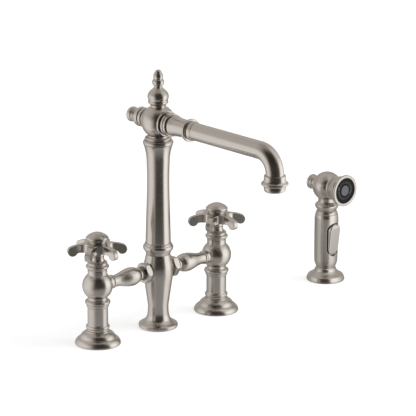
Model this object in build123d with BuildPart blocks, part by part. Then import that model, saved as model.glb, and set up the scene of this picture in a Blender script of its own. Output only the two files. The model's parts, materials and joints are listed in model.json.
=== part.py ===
"""Bridge kitchen faucet with a side spray, in millimetres.

Two valves stand on the deck and feed a column between them through a bridge at half height.
The spout swivels on top of the column, each six-pronged handle turns a quarter turn, and the
spray lifts out of its holder on the right. +Z is up, the front is -Y, and the origin is the
middle of the column's foot on the deck.
"""

import os
from math import sqrt

from build123d import *

os.makedirs("parts", exist_ok=True)

# Where the main parts stand
VALVE_X = 101.6  # the valves are 8 inches apart
SPRAY_X = 304.8  # the spray stands 8 inches beyond the right valve
BRIDGE_Z = 77.0  # height of the bridge and of the middle of the valve balls
ARM_Z = 274.1  # height of the spout's arm and of the middle of its hub
SPOUT_REACH = 215.2  # from the column's axis to the outlet's
DECK = 30.0  # thickness of the deck that the lock nuts clamp

# Clearances
RUNNING = 0.06  # on the radius of a shaft that turns in its bearing
CLEAR = 0.4  # between pieces that move past each other
PLAY = 0.3  # between the flat faces of a swivel
THREAD = 0.1  # between a nut's thread and the one inside it

# Column, spout and bridge
WATER_R = 6.0  # passages through the column
LEG_BORE_R = 5.0
FOOT_HEIGHT = 7.0
SHANK_R = 8.0  # threaded tube under the column
SHANK_BORE_R = 4.5
FEED_NIPPLE_R = 6.6  # lower end of that tube, which feeds the spray's hose
SEAM_R = 15.7  # where the column's body meets the collar
RISER_BORE_R = 12.0
RISER_SPIGOT_R = 13.5
HUB_R = 21.7
POST_R = 10.0  # tube on which the spout swivels
POST_BORE_R = 7.0
POST_FLANGE = 2.3  # keeps the post in its bushing
FINIAL_STUD_R = 5.0
FINIAL_STUD = 6.5
FINIAL_TIP_R = 4.6
FINIAL_TIP = 4.2
KNOB_STUD_R = 4.0
KNOB_STUD = 8.0
TUBE_R = 11.2
TUBE_BORE_R = 9.2
BEND_R = 26.0  # of the spout's tube, on its centre line
AERATOR_R = 12.0  # thread of the aerator in the outlet
SCREEN_R = 10.4
MESH = 4.6  # from one opening of the screen to the next
MESH_HOLE = 2.6

# Union between the column and each leg of the bridge
NIPPLE_R = 9.5
NIPPLE_END = 22.5
WASHER = 1.0
TAIL_FLANGE_R = 9.2
TAIL_FLANGE = 1.5
TAIL_R = 7.2
UNION_NUT_FLATS = 24.0
UNION_NUT_START = 19.6
UNION_NUT = 8.0

# Valves
VALVE_R = 19.4
SEAT = 15.1  # from the middle of a valve ball to its flat seats above and below
PORT = 17.4  # from the middle of a valve ball to the seat of the bridge
FLANGE_HEIGHT = 18.1
SUPPLY_R = 10.4  # supply thread below the deck
SUPPLY_BORE_R = 6.5
VALVE_SHANK_R = 12.0
VALVE_SPIGOT_R = 9.5
CARTRIDGE_R = 9.0
CARTRIDGE_BORE_R = 4.5
CARTRIDGE_BORE = 15.5  # depth of that bore
CARTRIDGE_PORT_R = 4.0
STEM_R = 5.0
CARTRIDGE_BOTTOM = -7.5  # from here to the handle's top, above the middle of the ball
STEM_BOTTOM = 20.9
BONNET_TOP = 32.9
NUT_TOP = 41.1

# Handles
PRONGS = 6
PRONG_WIDTH = 7.0
PRONG_TIP_R = 6.3  # rounded end of a prong in side view
HANDLE_R = 38.1
WEB_FILLET = 9.3  # between neighbouring prongs
HANDLE_BOTTOM = 42.1
PALM_BOTTOM = 46.3
HANDLE_TOP = 58.9
STEM_SOCKET = 8.8  # depth of the stem in the handle
SCREW_R = 2.0
SCREW = 12.0  # length of its thread below the stem's top
SCREW_HEAD_R = 4.5
SCREW_HEAD = 2.6
SCREW_WEB = 3.0  # what the screw's head bears on
PALM_R = 14.5  # flat middle of the handle's top
BOSS_R = 7.3  # boss under the handle, round the stem
CAP_R = 14.3
RECESS_R = 9.2  # holds the screw's head and the cap's spigot

# Spray
SPRAY_BORE_R = 8.5
HOLDER_SHANK_R = 13.0
HOLDER_TOP = 18.7
GRIP_BOTTOM = 19.0
GRIP_TOP = 99.1
GRIP_R = 16.4
SWIVEL_R = 6.0  # spigot of the hose coupling on which the handset turns
SWIVEL_HEIGHT = 11.6
SPRAY_WATER_R = 3.5
HOSE_NIPPLE_R = 5.2
HEAD_Z = 132.8
HEAD_R = 20.7
NECK_TOP = HEAD_Z - 17.0
NOZZLE_SEAT = 14.0
FACE_R = 17.4
FACE_SEAT = 30.0
FACE = 4.3
CORE_R = 6.6
NOZZLE_SLOTS = 28
SLOT_RING_R = 11.5  # from the nozzle's axis to the middle of a slot
SLOT_LENGTH = 4.6
SLOT_WIDTH = 1.1
SLOT_DEPTH = 1.2

# Trigger in the front of the grip
POCKET_BOTTOM = 32.3
POCKET_TOP = 79.3
POCKET_WIDTH = 19.4
POCKET_FLOOR = 7.0  # from the grip's axis
TRIGGER_GAP = 1.2
TRIGGER_PIN_R = 1.5
TRIGGER_PIN_Y = -11.6
TRIGGER_PIN_Z = 38.3
TRIGGER_PIN_HALF = 11.0
TRIGGER_BACK = 10.6  # faces of the trigger in front of the grip's axis
TRIGGER_FRONT = 18.9

# Fixings below the deck
GASKET = 1.5
DECK_WASHER = 2.5
WASHER_RIM = 9.0  # of a washer beyond its shank
LOCK_NUT = 8.0
NUT_WALL = 5.0  # from a lock nut's thread to its flats

SIDES = {"left": -1, "right": 1}


def upright(x=0.0, y=0.0, z=0.0):
    """The plane of a piece turned about a vertical axis: radius along X, height along Y."""
    return Plane(origin=(x, y, z), x_dir=(1, 0, 0), z_dir=(0, -1, 0))


def forward(x, z):
    """The plane of a piece turned about an axis towards the front, -Y."""
    return Plane(origin=(x, 0, z), x_dir=(0, 0, 1), z_dir=(1, 0, 0))


def backward(x, z):
    """The plane of a piece turned about an axis towards the back, +Y."""
    return Plane(origin=(x, 0, z), x_dir=(0, 0, 1), z_dir=(-1, 0, 0))


def sideways(side, z):
    """The plane of a piece turned about an axis from the column towards one side."""
    return Plane(origin=(0, 0, z), x_dir=(0, 0, 1), z_dir=(0, side, 0))


def turn(plane, points, mode=Mode.ADD):
    """Turns a closed outline about the plane's Y axis, in the part that is being built.

    Each point is (radius, distance along the axis), and a third number bows the edge that
    leaves the point outward by that much, or inward if it is negative.
    """
    with BuildSketch(plane) as outline:
        with BuildLine():
            for start, end in zip(points, points[1:] + points[:1]):
                if len(start) > 2:
                    SagittaArc(start[:2], end[:2], -start[2])
                else:
                    Line(start[:2], end[:2])
        make_face()
    revolve(outline.sketch, axis=Axis(plane.origin, plane.y_dir), mode=mode)


def dome(radius, rise):
    """The bow of an edge that rises from a radius to the axis as part of a sphere."""
    chord = radius**2 + rise**2
    sphere_radius = chord / (2 * rise)
    return sphere_radius - sqrt(sphere_radius**2 - chord / 4)


def drill(plane, radius, start, end):
    """Cuts a round hole along the plane's Y axis."""
    turn(plane, [(0, start), (radius, start), (radius, end), (0, end)], Mode.SUBTRACT)


def save(piece, name):
    """Labels a finished piece and writes it."""
    piece.part.label = name
    export_step(piece.part, f"parts/{name}.step")


# ---------------------------------------------------------------- column
axis = upright()
COLUMN_TOP = BRIDGE_Z + 21.8
COLLAR_TOP = COLUMN_TOP + 14.8
SPIGOT_BOTTOM = COLUMN_TOP + 7.5  # of the riser's spigot in the collar
CAP_BOTTOM = ARM_Z - 29.3
CAP_TOP = CAP_BOTTOM + 11.5
BUSHING_BOTTOM = CAP_TOP - 38
BUSHING_TOP = CAP_TOP - 2
SHANK_TOP = FOOT_HEIGHT + 8.0
SHANK_BOTTOM = -DECK - 32  # of the tubes below the column and the valves
COLUMN_GASKET = (14.0, 21.5)
SPRAY_GASKET = (16.0, 23.0)
VALVE_GASKET = (18.0, 25.0)
GASKET_RINGS = {
    0.0: COLUMN_GASKET, SPRAY_X: SPRAY_GASKET, -VALVE_X: VALVE_GASKET, VALVE_X: VALVE_GASKET
}


def foot_bottom(bore_radius, x):
    """The underside of a foot: its bore, then the recess that holds its gasket."""
    inner, outer = GASKET_RINGS[x]
    return [(bore_radius, 0), (inner, 0), (inner, GASKET), (outer, GASKET), (outer, 0)]


with BuildPart() as column_foot:
    turn(
        axis,
        foot_bottom(SHANK_R, 0.0)
        + [
            (24.7, 0),
            (25.5, 1.5),
            (25.5, 3.6, 0.5),
            (22.8, FOOT_HEIGHT - 1.0),
            (20.9, FOOT_HEIGHT),
            (SHANK_R, FOOT_HEIGHT),
        ],
    )
save(column_foot, "column_foot")

with BuildPart() as column_body:
    turn(
        axis,
        [
            (0, FOOT_HEIGHT),
            (20.9, FOOT_HEIGHT, -0.48),
            (15.6, FOOT_HEIGHT + 4.9, -0.85),
            (13.3, FOOT_HEIGHT + 19.8),
            (19.2, BRIDGE_Z - 6.7, 1.25),
            (SEAM_R, COLUMN_TOP),
            (0, COLUMN_TOP),
        ],
    )
    for side in SIDES.values():
        turn(
            sideways(side, BRIDGE_Z),
            [(0, 0), (NIPPLE_R, 0), (NIPPLE_R, NIPPLE_END), (0, NIPPLE_END)],
        )
    for side in SIDES.values():
        drill(sideways(side, BRIDGE_Z), WATER_R, 0, NIPPLE_END)
    drill(axis, WATER_R, SHANK_TOP, COLUMN_TOP)
    drill(axis, SHANK_R, FOOT_HEIGHT, SHANK_TOP)
save(column_body, "column_body")

with BuildPart() as column_shank:
    turn(
        axis,
        [
            (SHANK_BORE_R, SHANK_BOTTOM),
            (FEED_NIPPLE_R, SHANK_BOTTOM),
            (FEED_NIPPLE_R, SHANK_BOTTOM + 16),
            (SHANK_R, SHANK_BOTTOM + 17.4),
            (SHANK_R, SHANK_TOP),
            (SHANK_BORE_R, SHANK_TOP),
        ],
    )
save(column_shank, "column_shank")

with BuildPart() as column_collar:
    turn(
        axis,
        [
            (WATER_R, COLUMN_TOP),
            (SEAM_R, COLUMN_TOP),
            (17.3, COLUMN_TOP + 4.7, 2.0),
            (17.4, COLUMN_TOP + 13.7),
            (16.4, COLLAR_TOP),
            (RISER_SPIGOT_R, COLLAR_TOP),
            (RISER_SPIGOT_R, SPIGOT_BOTTOM),
            (WATER_R, SPIGOT_BOTTOM),
        ],
    )
save(column_collar, "column_collar")

with BuildPart() as riser_tube:
    turn(
        axis,
        [
            (RISER_BORE_R, SPIGOT_BOTTOM),
            (RISER_SPIGOT_R, SPIGOT_BOTTOM),
            (RISER_SPIGOT_R, COLLAR_TOP),
            (16.3, COLLAR_TOP),
            (14.3, CAP_BOTTOM - 60, -0.7),
            (18.9, CAP_BOTTOM - 0.8),
            (18.3, CAP_BOTTOM),
            (RISER_BORE_R, CAP_BOTTOM),
        ],
    )
save(riser_tube, "riser_tube")

with BuildPart() as riser_cap:
    turn(
        axis,
        [
            (RISER_BORE_R, CAP_BOTTOM),
            (18.9, CAP_BOTTOM),
            (19.5, CAP_BOTTOM + 0.7),
            (19.5, CAP_BOTTOM + 2.8),
            (16.8, CAP_BOTTOM + 5.6),
            (17.2, CAP_BOTTOM + 6.4),
            (17.2, CAP_BOTTOM + 8.0),
            (13.4, CAP_BOTTOM + 10.6),
            (13.4, CAP_TOP),
            (POST_R + CLEAR, CAP_TOP),
            (POST_R + CLEAR, BUSHING_TOP),
            (RISER_BORE_R, BUSHING_TOP),
        ],
    )
save(riser_cap, "riser_cap")

with BuildPart() as swivel_bushing:
    turn(
        axis,
        [
            (POST_R + RUNNING, BUSHING_BOTTOM),
            (RISER_BORE_R, BUSHING_BOTTOM),
            (RISER_BORE_R, BUSHING_TOP),
            (POST_R + RUNNING, BUSHING_TOP),
        ],
    )
save(swivel_bushing, "swivel_bushing")

# ---------------------------------------------------------------- valves and bridge
BALL_BOTTOM = BRIDGE_Z - SEAT
BALL_SEAT_R = sqrt(VALVE_R**2 - SEAT**2)
SPIGOT_TOP = FLANGE_HEIGHT + 12
LEG_START = NIPPLE_END + WASHER
LEG_END = VALVE_X - PORT
UNION_NUT_END = UNION_NUT_START + UNION_NUT
valve_axis = upright(VALVE_X)
ball_axis = upright(VALVE_X, 0, BRIDGE_Z)
bridge = sideways(1, BRIDGE_Z)

# Each of these is built for the right valve and mirrored for the left one.
with BuildPart() as base_flanges:
    turn(
        valve_axis,
        foot_bottom(VALVE_SHANK_R, VALVE_X)
        + [
            (28.8, 0),
            (29.4, 0.8),
            (29.4, 1.6, 0.85),
            (24.6, FLANGE_HEIGHT - 9.7),
            (23.6, FLANGE_HEIGHT - 9.5),
            (23.3, FLANGE_HEIGHT - 8.8),
            (22.7, FLANGE_HEIGHT - 8.5, 1.0),
            (15.6, FLANGE_HEIGHT - 1.6),
            (14.9, FLANGE_HEIGHT - 0.9),
            (14.9, FLANGE_HEIGHT),
            (VALVE_SHANK_R, FLANGE_HEIGHT),
        ],
    )
    mirror(about=Plane.YZ)
save(base_flanges, "base_flanges")

with BuildPart() as supply_shanks:
    turn(
        valve_axis,
        [
            (SUPPLY_BORE_R, SHANK_BOTTOM),
            (SUPPLY_R, SHANK_BOTTOM),
            (SUPPLY_R, SHANK_BOTTOM + 18),
            (VALVE_SHANK_R, SHANK_BOTTOM + 19),
            (VALVE_SHANK_R, FLANGE_HEIGHT),
            (VALVE_SPIGOT_R, FLANGE_HEIGHT),
            (VALVE_SPIGOT_R, SPIGOT_TOP),
            (SUPPLY_BORE_R, SPIGOT_TOP),
        ],
    )
    mirror(about=Plane.YZ)
save(supply_shanks, "supply_shanks")

with BuildPart() as pedestals:
    turn(
        valve_axis,
        [
            (VALVE_SPIGOT_R, FLANGE_HEIGHT),
            (14.2, FLANGE_HEIGHT),
            (14.2, FLANGE_HEIGHT + 3.0, 0.8),
            (14.2, FLANGE_HEIGHT + 6.2),
            (13.05, FLANGE_HEIGHT + 7.4),
            (13.05, BALL_BOTTOM - 12.8),
            (14.6, BALL_BOTTOM - 11.6),
            (14.4, BALL_BOTTOM - 9.2, 1.8),
            (14.0, BALL_BOTTOM - 3.7),
            (12.2, BALL_BOTTOM - 2.4),
            (12.2, BALL_BOTTOM),
            (SUPPLY_BORE_R, BALL_BOTTOM),
            (SUPPLY_BORE_R, SPIGOT_TOP),
            (VALVE_SPIGOT_R, SPIGOT_TOP),
        ],
    )
    mirror(about=Plane.YZ)
save(pedestals, "pedestals")

with BuildPart() as valve_bodies:
    turn(
        ball_axis,
        [
            (0, -SEAT),
            (BALL_SEAT_R, -SEAT, VALVE_R - BALL_SEAT_R),
            (BALL_SEAT_R, SEAT),
            (0, SEAT),
        ],
    )
    with Locations((LEG_END, 0, BRIDGE_Z)):
        Box(
            2 * VALVE_R,
            2 * VALVE_R,
            2 * VALVE_R,
            align=(Align.MAX, Align.CENTER, Align.CENTER),
            mode=Mode.SUBTRACT,
        )
    drill(ball_axis, SUPPLY_BORE_R, -SEAT, CARTRIDGE_BOTTOM)
    drill(ball_axis, CARTRIDGE_R, CARTRIDGE_BOTTOM, SEAT)
    drill(bridge, LEG_BORE_R, LEG_END, VALVE_X)
    mirror(about=Plane.YZ)
save(valve_bodies, "valve_bodies")

with BuildPart() as bonnets:
    turn(
        ball_axis,
        [
            (CARTRIDGE_R, SEAT),
            (12.4, SEAT),
            (12.4, SEAT + 5.8),
            (11.9, SEAT + 6.3),
            (13.0, SEAT + 7.2),
            (13.0, SEAT + 8.1, 1.7),
            (13.3, SEAT + 12.7),
            (13.3, BONNET_TOP - 2.1),
            (13.9, BONNET_TOP - 1.4),
            (13.9, BONNET_TOP - 0.5),
            (13.2, BONNET_TOP),
            (CARTRIDGE_R, BONNET_TOP),
        ],
    )
    mirror(about=Plane.YZ)
save(bonnets, "bonnets")

with BuildPart() as cone_nuts:
    turn(
        ball_axis,
        [
            (STEM_R + CLEAR, BONNET_TOP),
            (13.2, BONNET_TOP, -1.2),
            (8.2, NUT_TOP),
            (STEM_R + CLEAR, NUT_TOP),
        ],
    )
    mirror(about=Plane.YZ)
save(cone_nuts, "cone_nuts")

with BuildPart() as cartridges:
    turn(
        ball_axis,
        [
            (CARTRIDGE_BORE_R, CARTRIDGE_BOTTOM),
            (CARTRIDGE_R, CARTRIDGE_BOTTOM),
            (CARTRIDGE_R, BONNET_TOP),
            (STEM_R + RUNNING, BONNET_TOP),
            (STEM_R + RUNNING, STEM_BOTTOM - CLEAR),
            (0, STEM_BOTTOM - CLEAR),
            (0, CARTRIDGE_BOTTOM + CARTRIDGE_BORE),
            (CARTRIDGE_BORE_R, CARTRIDGE_BOTTOM + CARTRIDGE_BORE),
        ],
    )
    drill(bridge, CARTRIDGE_PORT_R, VALVE_X - CARTRIDGE_R - 1, VALVE_X)
    mirror(about=Plane.YZ)
save(cartridges, "cartridges")

with BuildPart() as bridge_legs:
    turn(
        bridge,
        [
            (LEG_BORE_R, LEG_START),
            (TAIL_FLANGE_R, LEG_START),
            (TAIL_FLANGE_R, LEG_START + TAIL_FLANGE),
            (TAIL_R, LEG_START + TAIL_FLANGE),
            (TAIL_R, UNION_NUT_END + 3.9),
            (8.0, UNION_NUT_END + 4.5),
            (8.0, UNION_NUT_END + 6.6),
            (6.9, UNION_NUT_END + 7.3),
            (6.9, UNION_NUT_END + 8.3),
            (8.6, UNION_NUT_END + 9.2, 1.3),
            (12.2, LEG_END - 38.2, 0.3),
            (10.9, LEG_END - 27.7, -0.5),
            (7.65, LEG_END - 11.2),
            (7.65, LEG_END - 7.6),
            (8.9, LEG_END - 7.1),
            (8.9, LEG_END - 4.8),
            (8.4, LEG_END - 4.3),
            (8.4, LEG_END),
            (LEG_BORE_R, LEG_END),
        ],
    )
    mirror(about=Plane.YZ)
save(bridge_legs, "bridge_legs")

NUT_CORNER_R = UNION_NUT_FLATS / sqrt(3)
with BuildPart() as union_nuts:
    with BuildSketch(Plane.YZ.offset(UNION_NUT_START)):
        with Locations((0, BRIDGE_Z)):
            RegularPolygon(NUT_CORNER_R, 6)
    extrude(amount=UNION_NUT)
    turn(
        bridge,
        [
            (0, UNION_NUT_START),
            (NUT_CORNER_R - 1.2, UNION_NUT_START),
            (NUT_CORNER_R, UNION_NUT_START + 0.9),
            (NUT_CORNER_R, UNION_NUT_END - 0.9),
            (NUT_CORNER_R - 1.2, UNION_NUT_END),
            (0, UNION_NUT_END),
        ],
        Mode.INTERSECT,
    )
    drill(bridge, NIPPLE_R + THREAD, UNION_NUT_START, LEG_START + TAIL_FLANGE)
    drill(bridge, TAIL_R + THREAD, UNION_NUT_START, UNION_NUT_END)
    mirror(about=Plane.YZ)
save(union_nuts, "union_nuts")

with BuildPart() as union_washers:
    turn(
        bridge,
        [
            (WATER_R, NIPPLE_END),
            (TAIL_FLANGE_R, NIPPLE_END),
            (TAIL_FLANGE_R, LEG_START),
            (WATER_R, LEG_START),
        ],
    )
    mirror(about=Plane.YZ)
save(union_washers, "union_washers")

# ---------------------------------------------------------------- handles
socket_top = HANDLE_BOTTOM + STEM_SOCKET
web_top = socket_top + SCREW_WEB
tip_x = HANDLE_R - PRONG_TIP_R
tip_height = PALM_BOTTOM + 1.7
for name, side in SIDES.items():
    x = side * VALVE_X
    stem_axis = upright(x, 0, BRIDGE_Z)

    with BuildPart() as handle_stem:
        turn(
            stem_axis,
            [(0, STEM_BOTTOM), (STEM_R, STEM_BOTTOM), (STEM_R, socket_top), (0, socket_top)],
        )
        drill(stem_axis, SCREW_R, socket_top - SCREW - 2, socket_top)
    save(handle_stem, f"{name}_handle_stem")

    with BuildPart() as handle:
        with BuildSketch(Plane((x, 0, BRIDGE_Z + tip_height - PRONG_TIP_R))) as star:
            with PolarLocations(0, PRONGS, start_angle=-90):
                Rectangle(HANDLE_R, PRONG_WIDTH, align=(Align.MIN, Align.CENTER))
            inner_corners = star.vertices().sort_by_distance((0, 0))[:PRONGS]
            fillet(inner_corners, WEB_FILLET)
        extrude(amount=HANDLE_TOP - tip_height + PRONG_TIP_R)
        with BuildSketch(stem_axis) as side_view:
            with BuildLine():
                Polyline(
                    (PALM_R, HANDLE_TOP),
                    (0, HANDLE_TOP),
                    (0, PALM_BOTTOM),
                    (tip_x, PALM_BOTTOM),
                    (tip_x, tip_height + PRONG_TIP_R),
                )
                SagittaArc((tip_x, tip_height + PRONG_TIP_R), (PALM_R, HANDLE_TOP), -0.55)
            make_face()
            with Locations((tip_x, tip_height)):
                Circle(PRONG_TIP_R)
        revolve(axis=Axis((x, 0, 0), (0, 0, 1)), mode=Mode.INTERSECT)
        turn(
            stem_axis,
            [(0, HANDLE_BOTTOM), (BOSS_R, HANDLE_BOTTOM), (BOSS_R, PALM_BOTTOM), (0, PALM_BOTTOM)],
        )
        drill(stem_axis, STEM_R, HANDLE_BOTTOM, socket_top)
        drill(stem_axis, SCREW_R + THREAD, socket_top, web_top)
        drill(stem_axis, RECESS_R, web_top, HANDLE_TOP)
    save(handle, f"{name}_handle")

    with BuildPart() as handle_screw:
        turn(
            stem_axis,
            [
                (0, socket_top - SCREW),
                (SCREW_R, socket_top - SCREW),
                (SCREW_R, web_top),
                (SCREW_HEAD_R, web_top),
                (SCREW_HEAD_R, web_top + SCREW_HEAD),
                (0, web_top + SCREW_HEAD),
            ],
        )
    save(handle_screw, f"{name}_handle_screw")

    with BuildPart() as handle_cap:
        turn(
            stem_axis,
            [
                (0, HANDLE_TOP - 1.5),
                (RECESS_R, HANDLE_TOP - 1.5),
                (RECESS_R, HANDLE_TOP),
                (12.0, HANDLE_TOP),
                (12.0, HANDLE_TOP + 2.4),
                (CAP_R, HANDLE_TOP + 3.6),
                (CAP_R, HANDLE_TOP + 4.8, dome(CAP_R, 7.9)),
                (0, HANDLE_TOP + 12.7),
            ],
        )
    save(handle_cap, f"{name}_handle_cap")

# ---------------------------------------------------------------- spout
HUB_BOTTOM = CAP_TOP + PLAY
POST_SHOULDER = BUSHING_BOTTOM - PLAY
FERRULE_SEAT = 15.2
REAR_SEAT = 18.0
KNOB_SEAT = REAR_SEAT + 19.5
FINIAL_SEAT = 19.7
POST_TOP = HUB_BOTTOM + 7.7
arm = forward(0, ARM_Z)
rear = backward(0, ARM_Z)
finial_axis = upright(0, 0, ARM_Z + FINIAL_SEAT)

with BuildPart() as swivel_post:
    turn(
        axis,
        [
            (POST_BORE_R, POST_SHOULDER - POST_FLANGE),
            (RISER_BORE_R - CLEAR, POST_SHOULDER - POST_FLANGE),
            (RISER_BORE_R - CLEAR, POST_SHOULDER),
            (POST_R, POST_SHOULDER),
            (POST_R, POST_TOP),
            (POST_BORE_R, POST_TOP),
        ],
    )
save(swivel_post, "swivel_post")

with BuildPart() as spout_hub:
    with Locations((0, 0, ARM_Z)):
        Sphere(HUB_R)
    hub_height = ARM_Z + FINIAL_SEAT - HUB_BOTTOM
    with Locations((0, (REAR_SEAT - FERRULE_SEAT) / 2, HUB_BOTTOM + hub_height / 2)):
        Box(2 * HUB_R, FERRULE_SEAT + REAR_SEAT, hub_height, mode=Mode.INTERSECT)
    drill(axis, POST_R, HUB_BOTTOM, POST_TOP)
    drill(axis, POST_BORE_R, POST_TOP, ARM_Z)
    drill(arm, TUBE_BORE_R, 0, FERRULE_SEAT)
    drill(rear, KNOB_STUD_R, REAR_SEAT - KNOB_STUD, REAR_SEAT)
    drill(finial_axis, FINIAL_STUD_R, -FINIAL_STUD, 0)
save(spout_hub, "spout_hub")

with BuildPart() as finial:
    turn(
        finial_axis,
        [
            (0, -FINIAL_STUD),
            (FINIAL_STUD_R, -FINIAL_STUD),
            (FINIAL_STUD_R, 0),
            (9.8, 0),
            (9.8, 2.0),
            (13.0, 5.0),
            (12.5, 8.4, 0.4),
            (13.3, 14.7, 0.9),
            (6.6, 23.5),
            (5.1, 25.3),
            (5.1, 26.9, 2.0),
            (5.8, 36.0, 1.0),
            (FINIAL_TIP_R, 43.2, dome(FINIAL_TIP_R, FINIAL_TIP)),
            (0, 43.2 + FINIAL_TIP),
        ],
    )
save(finial, "finial")

with BuildPart() as rear_ferrule:
    turn(
        rear,
        [
            (KNOB_STUD_R, REAR_SEAT),
            (12.3, REAR_SEAT),
            (12.3, REAR_SEAT + 2.6),
            (11.0, REAR_SEAT + 3.2),
            (12.6, REAR_SEAT + 4.2),
            (12.6, REAR_SEAT + 8.6),
            (11.3, REAR_SEAT + 9.5),
            (12.7, REAR_SEAT + 10.6),
            (12.7, REAR_SEAT + 16.2),
            (9.0, KNOB_SEAT),
            (KNOB_STUD_R, KNOB_SEAT),
        ],
    )
save(rear_ferrule, "rear_ferrule")

with BuildPart() as rear_knob:
    turn(
        rear,
        [
            (0, REAR_SEAT - KNOB_STUD),
            (KNOB_STUD_R, REAR_SEAT - KNOB_STUD),
            (KNOB_STUD_R, KNOB_SEAT),
            (7.6, KNOB_SEAT, -0.3),
            (6.2, KNOB_SEAT + 3.5, -0.5),
            (9.8, KNOB_SEAT + 11.0),
            (9.8, KNOB_SEAT + 12.5, dome(9.8, 4.5)),
            (0, KNOB_SEAT + 17.0),
        ],
    )
save(rear_knob, "rear_knob")

SLEEVE_START = FERRULE_SEAT + 14.1
COLLAR_START = SLEEVE_START + 30.7
TUBE_START = COLLAR_START + 2
with BuildPart() as arm_ferrule:
    turn(
        arm,
        [
            (TUBE_BORE_R, FERRULE_SEAT),
            (16.0, FERRULE_SEAT),
            (16.0, FERRULE_SEAT + 1.3),
            (14.3, FERRULE_SEAT + 2.1),
            (14.3, FERRULE_SEAT + 3.1),
            (15.2, FERRULE_SEAT + 4.0),
            (14.6, FERRULE_SEAT + 11.3),
            (13.0, FERRULE_SEAT + 12.6),
            (13.0, SLEEVE_START),
            (TUBE_BORE_R, SLEEVE_START),
        ],
    )
save(arm_ferrule, "arm_ferrule")

with BuildPart() as spout_sleeve:
    turn(
        arm,
        [
            (TUBE_BORE_R, SLEEVE_START),
            (13.6, SLEEVE_START),
            (13.6, SLEEVE_START + 1.4, -0.5),
            (11.75, SLEEVE_START + 16.7),
            (11.6, COLLAR_START),
            (TUBE_BORE_R, COLLAR_START),
        ],
    )
save(spout_sleeve, "spout_sleeve")

with BuildPart() as spout_collar:
    turn(
        arm,
        [
            (TUBE_BORE_R, COLLAR_START),
            (14.7, COLLAR_START),
            (14.7, COLLAR_START + 1.3),
            (14.2, COLLAR_START + 1.7),
            (14.5, COLLAR_START + 2.1, 0.7),
            (11.6, COLLAR_START + 12.5),
            (TUBE_R, COLLAR_START + 12.5),
            (TUBE_R, TUBE_START),
            (TUBE_BORE_R, TUBE_START),
        ],
    )
save(spout_collar, "spout_collar")

OUTLET_TOP = ARM_Z - BEND_R - 0.2
OUTLET_BOTTOM = OUTLET_TOP - 13.4
TUBE_END = OUTLET_TOP - 8.6
bend_start = SPOUT_REACH - BEND_R
with BuildPart() as spout_tube:
    with BuildLine(Plane.YZ) as centre_line:
        Line((-TUBE_START, ARM_Z), (-bend_start, ARM_Z))
        RadiusArc((-bend_start, ARM_Z), (-SPOUT_REACH, ARM_Z - BEND_R), -BEND_R)
        Line((-SPOUT_REACH, ARM_Z - BEND_R), (-SPOUT_REACH, TUBE_END))
    with BuildSketch(Plane(origin=(0, -TUBE_START, ARM_Z), z_dir=(0, -1, 0))):
        Circle(TUBE_R)
        Circle(TUBE_BORE_R, mode=Mode.SUBTRACT)
    sweep()
save(spout_tube, "spout_tube")

outlet_axis = upright(0, -SPOUT_REACH)
AERATOR_TOP = OUTLET_BOTTOM + 3.3
AERATOR_BOTTOM = OUTLET_BOTTOM - 7.1
SCREEN_BOTTOM = AERATOR_BOTTOM + 1.9
SCREEN = 1.2
with BuildPart() as outlet_ring:
    turn(
        outlet_axis,
        [
            (TUBE_R, OUTLET_TOP),
            (TUBE_R, TUBE_END),
            (TUBE_BORE_R, TUBE_END),
            (TUBE_BORE_R, AERATOR_TOP),
            (AERATOR_R, AERATOR_TOP),
            (AERATOR_R, OUTLET_BOTTOM),
            (13.9, OUTLET_BOTTOM),
            (16.7, OUTLET_BOTTOM + 2.1),
            (16.7, OUTLET_BOTTOM + 4.1, -0.8),
            (13.45, OUTLET_TOP - 4.8),
            (13.45, OUTLET_TOP - 0.5),
            (12.95, OUTLET_TOP),
        ],
    )
save(outlet_ring, "outlet_ring")

with BuildPart() as aerator_housing:
    turn(
        outlet_axis,
        [
            (SCREEN_R, AERATOR_TOP),
            (SCREEN_R, SCREEN_BOTTOM),
            (9.6, SCREEN_BOTTOM),
            (9.6, AERATOR_BOTTOM),
            (11.8, AERATOR_BOTTOM, 0.5),
            (13.45, AERATOR_BOTTOM + 3.3),
            (13.45, OUTLET_BOTTOM - 0.4),
            (13.05, OUTLET_BOTTOM),
            (AERATOR_R, OUTLET_BOTTOM),
            (AERATOR_R, AERATOR_TOP),
        ],
    )
save(aerator_housing, "aerator_housing")

with BuildPart() as aerator_screen:
    with BuildSketch(Plane((0, -SPOUT_REACH, SCREEN_BOTTOM))):
        Circle(SCREEN_R)
        with GridLocations(MESH, MESH, 4, 2):
            Rectangle(MESH_HOLE, MESH_HOLE, mode=Mode.SUBTRACT)
        with GridLocations(MESH, 3 * MESH, 2, 2):
            Rectangle(MESH_HOLE, MESH_HOLE, mode=Mode.SUBTRACT)
    extrude(amount=SCREEN)
save(aerator_screen, "aerator_screen")

# ---------------------------------------------------------------- spray
HOLDER_BOTTOM = -DECK - 16
COUPLING_BOTTOM = -DECK - 20
spray_axis = upright(SPRAY_X)
nozzle = forward(SPRAY_X, HEAD_Z)
with BuildPart() as spray_holder:
    turn(
        spray_axis,
        [
            (SPRAY_BORE_R, HOLDER_BOTTOM),
            (HOLDER_SHANK_R, HOLDER_BOTTOM),
        ]
        + foot_bottom(HOLDER_SHANK_R, SPRAY_X)
        + [
            (25.4, 0),
            (26.15, 1.0),
            (26.1, 2.2, 0.15),
            (24.6, HOLDER_TOP - 12.2, 0.4),
            (20.2, HOLDER_TOP - 9.2, -0.4),
            (16.3, HOLDER_TOP - 6.1),
            (15.4, HOLDER_TOP - 5.4),
            (14.9, HOLDER_TOP - 3.0, 0.2),
            (12.6, HOLDER_TOP),
            (SPRAY_BORE_R, HOLDER_TOP),
        ],
    )
save(spray_holder, "spray_holder")

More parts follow.
